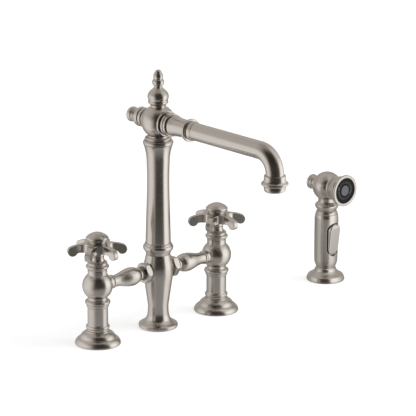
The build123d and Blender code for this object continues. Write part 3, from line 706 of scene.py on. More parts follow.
@dataclass
class Column:
    """The column: foot, vase-shaped body, collar, flared riser and its cap ring."""

    foot_height: float = 7.0
    body_top: float = 98.8
    collar_top: float = 113.6
    cap_bottom: float = 244.8
    cap_top: float = 256.3
    nipple_radius: float = 9.5
    nipple_end: float = 22.5
    bore: float = 8.0
    riser_bore: float = 12.0
    parts: Assembly = field(default_factory=Assembly)

    def build(self) -> None:
        """Makes the column's pieces."""
        axis = Axis((0, 0, 0))
        foot, bore, riser = self.foot_height, self.bore, self.riser_bore
        self.parts.turn(ROOT, [axis], {"column_foot": (0.25, [
            (bore, 0), (24.6, 0), (25.4, 0.9), (25.55, 2.2), (25.45, 3.7, 0.25),
            (24.3, 5.1, 0.05), (22.8, 6.0), (20.9, foot), (bore, foot)])})
        body = [
            (0, foot), (20.9, foot, -0.1), (18.3, 8.9, -0.08), (16.7, 10.4, -0.06),
            (15.6, 12.0, -0.06), (14.7, 14.4, -0.06), (14.0, 17.1, -0.05), (13.5, 21.0, -0.05),
            (13.3, 27.8, -0.1), (13.9, 33.8), (14.9, 40.3), (15.8, 46.9), (17.4, 57.8),
            (18.4, 64.3, 0.15), (19.2, 70.8, 0.1), (19.2, 77.8, 0.15), (18.6, 85.3),
            (17.5, 90.3), (15.9, 97.6), (15.6, self.body_top), (0, self.body_top),
        ]
        size, end = self.nipple_radius, self.nipple_end
        nipple = [(0, 0), (size, 0), (size, end), (0, end)]
        patches = [turned(axis, 0.5, body, 128)]
        patches += [turned(stub, 0.25, nipple) for stub in both_ways(BRIDGE_HEIGHT)]
        self.parts.add("column_body_turned", patches, ROOT, "column_body")
        top, low, high = self.collar_top, self.cap_bottom, self.cap_top
        self.parts.turn(ROOT, [axis], {
            "column_collar": (0.2, [
                (bore, self.body_top), (15.5, self.body_top), (15.8, 99.5), (16.6, 101.7, 0.1),
                (17.4, 103.7), (18.4, 104.5, 0.2), (19.4, 106.7, 0.15), (19.5, 108.7, 0.25),
                (18.3, 110.9), (17.6, 111.6), (17.5, 112.7), (16.8, top), (riser, top),
                (riser, 106.3), (bore, 106.3)]),
            "riser_tube": (0.22, [
                (riser, 107.3), (13.5, 107.3), (13.5, top), (16.35, top + 0.1),
                (15.4, 148.3, -0.06), (14.4, 184.3, -0.05), (14.25, 201.3, -0.12),
                (15.0, 225, -0.1), (15.6, 231.3, -0.1), (17.0, 238.3), (18.1, 242.3),
                (18.8, 243.8), (18.2, 244.4), (18.0, low), (riser, low)]),
            "riser_cap": (0.13, [
                (riser, low), (18.6, low), (19.5, 245.6), (19.5, 247.7), (18.7, 249.1, 0.15),
                (17.5, 250.2), (15.6, 250.5), (15.6, 251.2), (16.9, 251.5), (17.2, 251.9),
                (17.2, 252.8), (16.2, 253.9, -0.1), (13.5, 255.1), (13.4, high), (11, high),
                (11, 253.3), (riser, 253.3)]),
        })


@dataclass
class Valves:
    """Both valves from the deck to the cone nut: flange, pedestal, ball and bonnet."""

    ball_radius: float = 19.4
    seat: float = 15.1  # from the ball's middle to its flat seats above and below
    bore: float = 6.5
    parts: Assembly = field(default_factory=Assembly)

    def build(self) -> None:
        """Makes each kind of piece once for both valves, as the CAD nodes are."""
        size, bore = self.ball_radius, self.bore
        seat_r = sqrt(size**2 - self.seat**2)
        bottom, top = BRIDGE_HEIGHT - self.seat, BRIDGE_HEIGHT + self.seat
        axes = [Axis((-VALVE_X, 0, 0)), Axis((VALVE_X, 0, 0))]
        self.parts.turn(ROOT, axes, {
            "base_flanges": (0.2, [
                (12.0, 0), (28.7, 0), (29.35, 0.8), (29.4, 1.7, 0.8), (25.0, 8.1), (24.4, 8.5),
                (23.7, 8.6), (23.4, 9.0), (23.3, 9.5), (22.8, 9.7, 0.9), (16.2, 16.2),
                (15.3, 16.8), (14.9, 17.3), (14.9, 18.1), (12.0, 18.1)]),
            "pedestals": (0.2, [
                (bore, 18.1), (14.0, 18.1), (14.2, 18.7), (14.2, 20.5), (14.5, 21.2, 0.35),
                (15.0, 22.8, 0.35), (14.2, 24.7), (13.3, 25.3), (13.05, 26.1), (13.05, 48.7),
                (13.8, 49.2), (14.1, 49.6), (14.1, 50.3), (14.6, 51.1), (14.7, 52.9),
                (15.3, 53.5, 0.35), (16.0, 55.5, 0.3), (15.6, 57.3), (14.2, 58.3),
                (12.4, 59.2), (12.2, 59.9), (12.2, bottom + 0.6), (bore, bottom + 0.6)]),
            "valve_bodies": (0.2, [
                (0, bottom), (seat_r, bottom, size - seat_r), (seat_r, top), (0, top)]),
            "bonnets": (0.18, [
                (9.0, top - 0.5), (12.4, top - 0.5), (12.4, 97.9), (11.7, 98.1), (11.7, 98.6),
                (12.9, 99.1), (13.1, 100.1), (13.6, 100.7, 0.35), (14.8, 102.7, 0.35),
                (13.7, 104.4), (13.2, 104.9), (12.5, 105.3), (12.4, 106.2), (12.7, 106.8),
                (12.7, 107.8), (12.3, 108.2), (9.0, 108.2)]),
            "cone_nuts": (0.2, [
                (5.4, 108.2), (12.2, 108.2), (12.4, 108.7), (11.3, 109.2, -0.35), (8.9, 111.6),
                (8.6, 112.8), (8.6, 115.7), (8.3, 116.1), (5.4, 116.1)]),
        })


@dataclass
class Bridge:
    """The two turned legs between column and valves, with their hexagonal union nuts."""

    leg_end: float = 84.2
    nut_start: float = 19.6
    nut_end: float = 27.6
    nut_flats: float = 24.0
    nut_bore: float = 7.3
    parts: Assembly = field(default_factory=Assembly)

    # The chamfer's cone: distance from the nut's end, and what its radius lacks to the corners
    CHAMFER = ((0, 1.9), (0.08, 1.6), (0.3, 1.15), (0.6, 0.7), (0.95, 0.25), (1.3, 0), (2, 0))

    def build(self) -> None:
        """Makes the legs and the nuts."""
        axes, end = both_ways(BRIDGE_HEIGHT), self.leg_end + 0.8
        self.parts.turn(ROOT, axes, {"bridge_legs": (0.2, [
            (5.0, 23.5), (9.2, 23.5), (9.2, 25.0), (7.2, 25.0), (7.2, 31.3), (7.9, 31.8),
            (8.0, 32.3), (8.0, 34.0), (7.5, 34.3), (6.4, 34.6), (6.4, 35.8), (8.1, 36.1),
            (8.7, 36.9, 0.25), (10.7, 39.0, 0.2), (12.15, 45.5, 0.1), (12.1, 48.5, 0.1),
            (11.5, 53.5), (10.6, 57.8), (9.2, 63.0, -0.05), (8.1, 68.5, -0.04), (7.65, 73),
            (7.65, 76.4), (8.7, 76.9), (8.9, 77.4), (8.9, 79.0), (8.5, 79.6), (8.4, 80.2),
            (8.4, end), (5.0, end)])}, 72)
        nuts = [self.nut_patch(axis) for axis in axes]
        self.parts.add("union_nuts_milled", nuts, ROOT, "union_nuts")

    def nut_patch(self, axis: Axis) -> Patch:
        """A hexagon carried along the axis, cut at both ends by the cones that chamfer it.

        Each place of the softened hexagon is drawn in to the cone's radius where that is the
        smaller, so the chamfers meet the flats in arcs. The bore closes the surface.

        Args:
            axis: The bridge's axis on one side.

        Returns:
            The nut's patch, a closed loop in both directions.
        """
        corner = self.nut_flats / sqrt(3)
        turns = [k * pi / 3 for k in range(6)]
        corners = [(corner * sin(turn), corner * cos(turn)) for turn in turns][::-1]
        hexagon = soften(corners, 0.3, True, radians(6), 1.5).places
        rise = [(self.nut_start + run, corner - lack) for run, lack in self.CHAMFER]
        fall = [(self.nut_end - run, corner - lack) for run, lack in self.CHAMFER[::-1]]
        ends = [(self.nut_start, self.nut_bore)], [(self.nut_end, self.nut_bore)]
        height, reach = np.array(ends[0] + rise + fall + ends[1]).T[..., None]
        radius = np.minimum(reach, np.hypot(*hexagon.T))
        angle = np.arctan2(hexagon[:, 1], hexagon[:, 0])
        places = axis.place(radius, angle, height)
        normals = grid_normals(places, True, True, axis.vector(radius, angle, 0.0))
        return Patch(places, normals, places * (1, 0.1, 0.1), True, True)


# ---------------------------------------------------------------- handles
@dataclass
class Handle:
    """A six-pronged handle with its domed cap, on the left or the right valve."""

    side: str
    centre_x: float
    prong_half: float = 3.5
    reach: float = 38.1
    web_fillet: float = 9.3
    rim: float = 0.7
    tip_radius: float = 6.3
    tip_height: float = 123.8
    top: float = 134.7
    underside: float = 122.1
    boss_radius: float = 8.9
    boss_bottom: float = 116.4
    prongs: int = 6
    parts: Assembly = field(default_factory=Assembly)

    FINE = 0.02  # step of the side view while it is softened
    SOFTNESS = 0.6
    RIM_COLUMNS = (0, 0.03, 0.1, 0.2, 0.34, 0.52, 0.74, 1.0, 1.3)  # distances from a side wall
    NARROW = 3.0  # half width below which those distances shrink
    WALL_ROWS = 7
    MIRROR = (1, -1, 1)

    def side_view(self) -> tuple[Array, Array, Array]:
        """The prong's side view, from the middle over the tip and back below to the middle.

        Returns:
            Radii, and height and outward normal of the upper and of the lower curve there, each
            (n, 3).
        """
        tip_x = self.reach - self.tip_radius
        swing = np.linspace(radians(20), radians(232), 60)
        tip_z = self.tip_height + self.tip_radius * np.cos(swing)
        path = np.vstack([
            [(0, self.top), (12.0, self.top), (16.3, 133.5), (20.0, 133.0), (25.3, 132.3),
             (30.0, 131.1)],
            np.stack([tip_x + self.tip_radius * np.sin(swing), tip_z], axis=1),
            [(25.9, 121.7), (24.0, self.underside), (0, self.underside)],
        ])
        runs = run_length(path)
        fine = sample(np.arange(0, runs[-1], self.FINE), runs, path)
        reach = round(BELL_REACH * self.SOFTNESS / self.FINE)
        fine = smooth(fine, bell_curve(self.SOFTNESS, self.FINE, reach), False)
        fine[:, 0] *= self.reach / fine[:, 0].max()
        ahead = np.gradient(fine, axis=0)
        normal = np.stack([-ahead[:, 1], ahead[:, 0]], axis=1)
        curve = np.column_stack([fine, normal / np.hypot(*normal.T)[:, None]])

        middle, fillet = self.web_centre(), self.web_fillet
        swing = np.radians(np.linspace(0, 60, 13))
        on_fillet = np.sqrt(middle**2 + fillet**2 - 2 * middle * fillet * np.cos(swing))
        radius = np.concatenate([
            [0, 3, 6, 9, 11, 12.5, 13.5, 14.2],
            np.linspace(14.7, middle - fillet - 0.04, 9),
            on_fillet,
            np.linspace(on_fillet[-1] + 0.7, tip_x - 0.6, 8),
            tip_x + self.tip_radius * np.sin(np.radians(np.linspace(0, 90, 15))),
        ])
        end = int(np.argmax(fine[:, 0]))
        halves = (curve[: end + 1], curve[end:][::-1])
        upper, lower = (sample(radius, half[:, 0], half[:, 1:]) for half in halves)
        upper[-1, 1:] = lower[-1, 1:] = (1, 0)
        lower[-1, 0] = upper[-1, 0]
        return radius, upper, lower

    def web_centre(self) -> float:
        """Distance of a web fillet's centre from the handle's axis."""
        return (self.prong_half + self.web_fillet) / sin(pi / self.prongs)

    def side_start(self) -> float:
        """Radius at which the web's fillet meets the prong's straight side."""
        return hypot(self.web_centre() * cos(pi / self.prongs), self.prong_half)

    def half_angle(self, radius: Array) -> Array:
        """Half the angle that a prong takes up at each radius, up to its share of the circle.

        Beyond the fillet it is where the circle of that radius meets the prong's side, and
        along the fillet where it meets the fillet's circle.

        Args:
            radius: Radii from the handle's axis.

        Returns:
            Half the angle at each.
        """
        share, middle = pi / self.prongs, self.web_centre()
        safe = np.maximum(radius, 1.0)
        side = np.arcsin(np.minimum(self.prong_half / safe, 1.0))
        cosine = (safe**2 + middle**2 - self.web_fillet**2) / (2 * middle * safe)
        web = share - np.arccos(np.clip(cosine, -1, 1))
        inside = radius <= middle - self.web_fillet
        return np.where(inside, share, np.where(radius >= self.side_start(), side, web))

    def edge_distance(self, x: Array, y: Array) -> tuple[Array, Array, Array]:
        """Distance to the nearest side wall in plan, and the direction towards it.

        Args:
            x: Place along the prong.
            y: Place across it.

        Returns:
            The distance, and both parts of the direction.
        """
        share, middle = pi / self.prongs, self.web_centre()
        tangent = middle * cos(share)
        way = np.where(y >= 0, 1.0, -1.0)
        to_x, to_y = tangent - x, way * middle * sin(share) - y
        size = np.hypot(to_x, to_y)
        on_prong = x >= tangent - 1e-9
        distance = np.where(on_prong, self.prong_half - np.abs(y), size - self.web_fillet)
        return (
            np.maximum(distance, 0.0),
            np.where(on_prong, 0.0, to_x / size),
            np.where(on_prong, way, to_y / size),
        )

    def rounded(self, x: Array, y: Array, side: Array) -> tuple[Array, Array]:
        """Drops a face near its rim so that it meets the wall in a quarter circle.

        At a distance d from the wall, with a rim of radius q, the face drops along its own
        normal by q minus the root of q squared less (q - d) squared, and its normal leans
        towards the wall by the arc sine of (q - d) over q.

        Args:
            x: Place along the prong, (n, m).
            y: Place across it.
            side: Height and normal in side view, (n, 1, 3).

        Returns:
            Places and normals in the prong's own frame, (n, m, 3).
        """
        z, out, up = np.moveaxis(side, -1, 0)
        distance, to_x, to_y = self.edge_distance(x, y)
        lean = np.clip((self.rim - distance) / self.rim, 0, 1)
        upright = np.sqrt(1 - lean**2)
        drop = self.rim - self.rim * upright
        radius = np.hypot(x, y)
        far = radius >= self.side_start() - 1e-9
        safe = np.maximum(radius, 1e-9)
        out_x = out * np.where(far, 1.0, x / safe)
        out_y = out * np.where(far, 0.0, y / safe)
        normals = grid(upright * out_x + lean * to_x, upright * out_y + lean * to_y, upright * up)
        return grid(x - drop * out_x, y - drop * out_y, z - drop * up), normals

    def build(self) -> None:
        """Makes the handle and its cap.

        A prong is its side view carried across its width, over the tip from the upper face to
        the lower one, and a wall runs from tip to tip round each web between two prongs.
        """
        radius, upper, lower = self.side_view()
        half = self.half_angle(radius)
        rows = np.concatenate([radius, radius[-2::-1]])[:, None]
        angles = np.concatenate([half, half[-2::-1]])[:, None]
        width = np.maximum(rows * angles, 1e-6)
        edge = np.array(self.RIM_COLUMNS)
        steps = np.minimum(edge, width * edge / self.NARROW)
        rest = steps[:, -1:] + (width - steps[:, -1:]) * np.linspace(0, 1, 5)[1:]
        share = 1 - np.hstack([steps, rest]) / width
        spin = np.hstack([-share, share[:, -2::-1]]) * angles
        side = np.concatenate([upper, lower[-2::-1]])[:, None]
        band = self.rounded(rows * np.cos(spin), rows * np.sin(spin), side)

        start = int(np.argmax(radius >= self.web_centre() - self.web_fillet - 1e-6))
        x = (radius * np.cos(half))[start:, None]
        y = (radius * np.sin(half))[start:, None]
        high, low = (self.rounded(x, y, face[start:, None])[0] for face in (upper, lower))
        _, to_x, to_y = self.edge_distance(x, y)
        share = np.linspace(0, 1, self.WALL_ROWS)[:, None]
        wall = high * (1 - share) + low * share
        wall_n = np.broadcast_to(grid(to_x, to_y, 0.0), wall.shape)
        faces = (band, (wall, wall_n), (wall * self.MIRROR, wall_n * self.MIRROR))
        turns = [-pi / 2 + k * 2 * pi / self.prongs for k in range(self.prongs)]
        patches = [self.placed(*face, turn) for turn in turns for face in faces]

        axis, size = Axis((self.centre_x, 0, 0)), self.boss_radius
        bottom, top = self.boss_bottom, self.underside + 0.6
        boss = [(0, bottom), (size - 0.4, bottom), (size, bottom + 0.5), (size, top), (0, top)]
        patches.append(turned(axis, 0.2, boss, 64))
        node, body = f"{self.side}_handle", f"{self.side}_valve_handle"
        self.parts.add(f"{node}_pronged", patches, body, node)
        self.parts.turn(body, [axis], {f"{node}_cap": (0.2, [
            (0, 133.5), (11.4, 133.5), (11.4, 136.2), (12.6, 136.7), (12.8, 137.9),
            (11.8, 138.3), (13.9, 138.7), (14.4, 139.2), (14.4, 140.4), (13.9, 141.2, 0.35),
            (8.2, 145.3, 0.55), (0, 147.4)])}, suffix="domed")

    def placed(self, places: Array, normals: Array, turn: float) -> Patch:
        """Turns a prong's grid to its place round the handle.

        Args:
            places: The grid in the prong's frame.
            normals: Its normals.
            turn: The prong's angle.

        Returns:
            The patch.
        """
        spin = np.array([[cos(turn), sin(turn), 0], [-sin(turn), cos(turn), 0], [0, 0, 1]])
        moved = places @ spin + (self.centre_x, 0, 0)
        return Patch(moved, normals @ spin, moved * (0.12, 0.12, 1))


# ---------------------------------------------------------------- spout
@dataclass
class Spout:
    """The swivelling spout: hub with finial and rear knob, stepped arm, bent tube and outlet."""

    height: float = 274.1
    hub_radius: float = 21.7
    hub_low: float = -17.5  # flat seats below and above the hub's middle
    hub_high: float = 19.7
    reach: float = 215.2
    tube_radius: float = 11.2
    wall: float = 2.0
    bend: float = 26.0
    tube_start: float = 66.9
    tube_end: float = 239.3
    parts: Assembly = field(default_factory=Assembly)

    # Outline of the finial from its seat on the hub: (radius, height[, bow])
    FINIAL = [
        (0, -6), (5, -6), (5, -0.4), (9.9, -0.4), (9.7, 0.6), (9.8, 1.8), (11.2, 3.2),
        (12.9, 5.0), (13.0, 6.4), (12.4, 7.6), (12.4, 8.4), (12.9, 9.6, 0.25),
        (13.5, 13.2, 0.35), (12.2, 17.5, 0.15), (10.1, 20.2), (7.6, 22.4, -0.15), (5.6, 24.6),
        (5.1, 25.4), (5.1, 26.4), (6.2, 27.6, 0.5), (7.5, 31.0, 0.6), (6.4, 34.8), (5.8, 35.6),
        (5.8, 36.2), (6.2, 37.2, 0.25), (6.0, 40.6, 0.2), (4.5, 43.6, 1.1), (0, 47.4),
    ]

    def build(self) -> None:
        """Makes the spout's pieces."""
        middle = (0, 0, self.height)
        hub = ball_outline(self.hub_radius, self.hub_low, self.hub_high)
        self.parts.turn(ARM, [Axis(middle)], {"spout_hub": (0.15, hub)}, 128)
        seat = Axis((0, 0, self.height + self.hub_high))
        self.parts.turn(ARM, [seat], {"finial": (0.18, self.FINIAL)})
        self.parts.turn(ARM, [Axis(middle, (0, -1, 0), (0, 0, 1))], {
            "arm_ferrule": (0.18, [
                (9.2, 12.6), (15.0, 12.6), (15.0, 15.0), (16.3, 15.2), (16.6, 15.8),
                (16.5, 17.8), (16.1, 18.4), (10.6, 18.6), (10.6, 20.9), (15.0, 21.1),
                (15.4, 21.7), (15.2, 24.0), (14.4, 24.7), (14.4, 25.5), (14.8, 26.0),
                (14.7, 28.2), (14.2, 28.8), (10.2, 29.0), (10.2, 29.3), (9.2, 29.3)]),
            "spout_sleeve": (0.2, [
                (9.2, 29.3), (10.2, 29.3), (10.2, 31.0), (13.4, 31.1), (13.7, 31.7),
                (13.5, 32.6), (13.0, 34.8, -0.08), (12.2, 38.6, -0.08), (11.9, 42.5),
                (11.65, 48), (11.6, 60), (9.2, 60)]),
            "spout_collar": (0.2, [
                (9.2, 60), (13.9, 60), (14.5, 60.3), (14.75, 60.9), (14.75, 62.9), (14.5, 63.5),
                (14.1, 63.8), (11.0, 63.9), (11.0, 66.2), (12.1, 66.4), (12.5, 66.9),
                (12.4, 68.2), (11.7, 71.4), (11.25, 72.8), (9.2, 72.8)]),
        })
        self.parts.turn(ARM, [Axis(middle, (0, 1, 0), (0, 0, 1))], {
            "rear_ferrule": (0.18, [
                (4.0, 17.4), (12.0, 17.4), (12.3, 18.2), (12.3, 20.3), (11.4, 20.8),
                (9.6, 21.0), (9.6, 22.0), (12.3, 22.2), (12.6, 22.8), (12.6, 26.4),
                (12.1, 27.0), (9.8, 27.1), (9.8, 28.2), (12.4, 28.4), (12.7, 29.2),
                (12.7, 33.8, 0.5), (9.4, 37.2), (9.0, 37.5), (4.0, 37.5)]),
            "rear_knob": (0.2, [
                (0, 30), (4.0, 30), (4.0, 37.3), (7.9, 37.3), (7.3, 38.4), (6.3, 39.8, -0.15),
                (6.25, 41.8), (7.2, 43.2, -0.15), (9.0, 46.3), (9.8, 48.4), (9.85, 50.0, 0.6),
                (7.2, 53.0, 0.45), (0, 54.45)]),
        })
        self.parts.add("spout_tube_bent", [self.tube_patch()], ARM, "spout_tube")
        self.parts.turn(ARM, [Axis((0, -self.reach, 0))], {
            "outlet_ring": (0.22, [
                (9.2, 239.1), (9.2, 237.8), (12.0, 237.8), (12.0, 234.5), (13.8, 234.5),
                (15.6, 235.5), (16.6, 236.5), (16.68, 237.6), (16.6, 238.6, -0.1),
                (15.2, 239.7, -0.3), (13.7, 241.9, -0.1), (13.45, 243.2), (13.45, 247.5),
                (12.9, 248), (11.3, 248), (11.2, 239.1)]),
            "aerator_housing": (0.18, [
                (9.6, 227.4), (11.4, 227.4), (11.9, 227.8, 0.3), (13.2, 229.9), (13.45, 230.9),
                (13.45, 234.1), (13.1, 234.5), (10.4, 234.5), (10.4, 229.3), (9.6, 229.3)]),
        })

    def tube_patch(self) -> Patch:
        """A circle carried along the tube's line, outside one way and inside back.

        The line runs straight along the arm, through a quarter of a circle and straight down,
        and the circle stands at right angles to it.

        Returns:
            The tube's patch, closed round the circle and at both ends.
        """
        level, fall = 24, 4  # rows of the straight runs
        turn_y, turn_z = self.reach - self.bend, self.height - self.bend
        swing = np.radians(np.linspace(0, 90, 25)[1:])
        line = np.column_stack([
            np.concatenate([
                np.linspace(self.tube_start, turn_y, level),
                turn_y + self.bend * np.sin(swing), np.full(fall, self.reach),
            ]),
            np.concatenate([
                np.full(level, self.height), turn_z + self.bend * np.cos(swing),
                np.linspace(turn_z, self.tube_end, fall + 1)[1:],
            ]),
            np.concatenate([np.zeros(level), swing, np.full(fall, pi / 2)]),
        ])
        radius = np.repeat([self.tube_radius, self.tube_radius - self.wall], len(line))
        outside = np.repeat([1.0, -1.0], len(line))
        line = np.vstack([line, line[::-1]])
        y, z, heading = line.T[..., None]
        angle = np.arange(SEGMENTS) * (2 * pi / SEGMENTS)
        up = np.cos(angle)
        spoke = grid(-np.sin(angle), -np.sin(heading) * up, np.cos(heading) * up)
        places = grid(0.0, -y, z) + radius[:, None, None] * spoke
        lay = grid(up, np.sin(angle), run_length(line[:, :2])[:, None])
        return Patch(places, spoke * outside[:, None, None], lay, True, True)


def ball_outline(radius: float, low: float, high: float) -> Points:
    """The outline of a sphere between a seat below and one above, or its pole, as short chords.

    Args:
        radius: The sphere's radius.
        low: Height of the lower seat over the sphere's middle.
        high: Height of the upper seat, or the radius for a whole top.

    Returns:
        The outline, which starts and ends on the axis.
    """
    swing = np.linspace(np.arcsin(low / radius), np.arcsin(high / radius), 41)
    arc = [(radius * cos(a), radius * sin(a)) for a in swing]
    return [(0, low), *(arc[:-1] if high == radius else arc), (0, high)]


# ---------------------------------------------------------------- spray
@dataclass
class Stadium:
    """The outline of a slot with round ends, as spokes from the line in its middle.

    Each spoke has a place on the middle line and a direction away from it, so that the outline
    at any distance is the place plus that distance along the direction.
    """

    half_width: float
    bottom: float
    top: float

    def ends(self) -> tuple[float, float]:
        """Lower and upper end of the line in the middle."""
        return self.bottom + self.half_width, self.top - self.half_width

    def spokes(self, to: Array) -> tuple[Array, Array]:
        """Spokes that point from the middle line to given places.

        Args:
            to: Places outside the middle line, (n, 2).

        Returns:
            Starts and unit directions, each (n, 2).
        """
        start = grid(0.0, np.clip(to[:, 1], *self.ends()))
        way = to - start
        return start, way / np.hypot(*way.T)[:, None]

    def even_spokes(self, across: int, along: int) -> tuple[Array, Array]:
        """Spokes spread evenly over both round ends and both straight sides.

        Args:
            across: Steps round each end.
            along: Steps along each side.

        Returns:
            Starts and unit directions, each (n, 2).
        """
        low, high = self.ends()
        swing = np.linspace(pi, 2 * pi, across + 1)[:-1]
        rise = np.linspace(low, high, along + 1)[:-1]
        angle = np.concatenate([swing, np.zeros(along), swing - pi, np.full(along, pi)])
        height = np.concatenate(
            [np.full(across, low), rise, np.full(across, high), low + high - rise]
        )
        return grid(0.0, height), grid(np.cos(angle), np.sin(angle))


@dataclass
class Grip:
    """The spray's grip: a turned handle with a slot in its front for the trigger."""

    centre_x: float
    slot: Stadium
    slot_floor: float = 7.0
    rim: float = 0.45
    floor_rim: float = 0.5
    band: tuple[float, float] = (30.5, 88.0)
    band_rows: int = 30
    window_columns: int = 32
    bottom: float = 19.0
    top: float = 99.1
    bore: float = 11.0  # radius between the skin and the bores inside
    skin_size: float = 16.0  # about the skin's radius at the slot

    def outline(self) -> Points:
        """The grip's section, from its bottom outwards, up, and back down its bore."""
        return [
            (6.06, self.bottom), (13.1, self.bottom), (13.5, 19.3), (14.3, 21.9, 0.08),
            (15.5, 24.9, 0.12), (16.0, 28.8, 0.05), (16.25, 46.3), (16.38, 60.3),
            (16.38, 86.3, 0.1), (15.9, 91.6), (15.45, 93.8), (14.9, 94.1), (14.8, 94.4),
            (15.15, 94.8), (14.9, 95.9, 0.08), (13.4, 98.6), (12.9, self.top),
            (3.5, self.top), (3.5, 31), (6.06, 31),
        ]

    def __post_init__(self) -> None:
        """Works out the skin's section: its radius over its height."""
        fine = soften(self.outline(), 0.25, True, radians(1), 0.5).places
        skin = fine[fine[:, 0] > self.bore]
        self.section = skin[np.argsort(skin[:, 1])].T[::-1]

    def skin_radius(self, height: Array) -> Array:
        """Radius of the skin at a height."""
        return np.interp(height, *self.section)

    def patches(self) -> list[Patch]:
        """The whole surface.

        Below and above the slot the outline turns right round. Between them it leaves out a
        window at the front, and a frame fills the window up to the slot's rim.

        Returns:
            The patches of the grip.
        """
        low, high = self.band
        coarse = soften(self.outline(), 0.25, True)
        radius, height = coarse.places.T
        inside = (radius > self.bore) & (height > low) & (height < high)
        keep = np.roll(np.arange(len(inside)), -int(np.argmax(inside)))
        keep = keep[~inside[keep]]
        borders = np.array([high, low])
        ends = grid(self.skin_radius(borders), borders)
        rest = Outline(
            np.vstack([ends[:1], coarse.places[keep], ends[1:]]),
            np.vstack([[1.0, 0.0], coarse.normals[keep], [1.0, 0.0]]),
            np.concatenate([[high], coarse.along[keep], [low]]),
            False,
        )
        axis = Axis((self.centre_x, 0, 0), (0, 0, 1), (0, -1, 0))
        heights = np.linspace(low, high, self.band_rows + 1)
        half = self.window_columns // 2
        angle = np.arange(half, SEGMENTS - half + 1) * (2 * pi / SEGMENTS)
        back = self.skin(angle[None, :], heights[:, None])
        return [turned_patch(axis, rest), back, *self.window(heights)]

    def skin(self, angle: Array, height: Array) -> Patch:
        """The turned surface at given angles from the front and heights.

        Args:
            angle: Angle from the front towards +X.
            height: Height, which broadcasts with the angle.

        Returns:
            An open patch.
        """
        probe = 0.3  # either side of a height, for the slope there
        rise = self.skin_radius(height + probe) - self.skin_radius(height - probe)
        slope = rise / (2 * probe)
        size, radius = np.sqrt(1 + slope**2), self.skin_radius(height)
        x, y = np.sin(angle), -np.cos(angle)
        places = grid(self.centre_x + x * radius, y * radius, height)
        return Patch(places, grid(x / size, y / size, -slope / size), grid(-y, x, height))

    def window(self, heights: Array) -> list[Patch]:
        """The skin between a window's border and the slot, the slot's rim, wall and floor.

        Each place of the border has the spoke of the slot that points to it. The skin runs
        straight from the border to the spoke, then a quarter circle leads over the rim into
        the wall, and another one into the floor.

        Args:
            heights: Heights of the border's places.

        Returns:
            The patches.
        """
        half, slot, round_rim = self.window_columns // 2, self.slot.half_width, self.floor_rim
        swing = np.arange(-half, half + 1) * (2 * pi / SEGMENTS)
        border = np.concatenate([
            grid(swing[:-1], heights[0]), grid(swing[-1], heights[:-1]),
            grid(swing[:0:-1], heights[-1]), grid(swing[0], heights[:0:-1]),
        ])
        start, way = self.slot.spokes(border * (self.skin_size, 1.0))
        edge = start + (slot + self.rim) * way
        edge_angle = np.arcsin(edge[:, 0] / self.skin_radius(edge[:, 1]))
        share = np.linspace(0, 1, 7)[:, None, None]
        across = border * (1 - share) + grid(edge_angle, edge[:, 1]) * share
        skin = self.skin(across[..., 0], across[..., 1])
        skin.columns_close = True

        inward = grid(-way[:, 0], 0.0, -way[:, 1])
        turn = np.radians(np.linspace(0, 90, 7))[:, None]
        flat = start + (slot + self.rim * (1 - np.sin(turn)))[..., None] * way
        surface = -np.sqrt(self.skin_radius(flat[..., 1]) ** 2 - flat[..., 0] ** 2)
        lean = turn[..., None]
        rim = self.front_view(
            flat, surface + self.rim * (1 - np.cos(turn)),
            np.cos(lean) * skin.normals[-1] + np.sin(lean) * inward,
        )
        turn = np.radians(np.linspace(0, 90, 6))[:, None]
        lean, facing = turn[..., None], np.array([0.0, -1.0, 0.0])
        corner = self.front_view(
            start + (slot - round_rim * (1 - np.cos(turn)))[..., None] * way,
            -self.slot_floor - round_rim * (1 - np.sin(turn)),
            np.cos(lean) * inward + np.sin(lean) * facing,
        )
        spread = (slot - round_rim) * np.array([1.0, 0.5, 0.0])[:, None, None]
        floor = self.front_view(start + spread * way, -self.slot_floor, facing)
        ends = np.stack([rim.places[-1], corner.places[0]])
        lean = np.stack([rim.normals[-1], corner.normals[0]])
        return [skin, rim, Patch(ends, lean, ends * 0.1, False, True), corner, floor]

    def front_view(self, flat: Array, depth: Array | float, normals: Array) -> Patch:
        """A patch from places in front view and their depth.

        Args:
            flat: Sideways place and height, (n, m, 2).
            depth: Place along Y.
            normals: Normals.

        Returns:
            The patch, closed round the slot.
        """
        places = grid(self.centre_x + flat[..., 0], depth, flat[..., 1])
        normals = np.broadcast_to(normals, places.shape)
        return Patch(places, normals, places * 0.1, False, True)


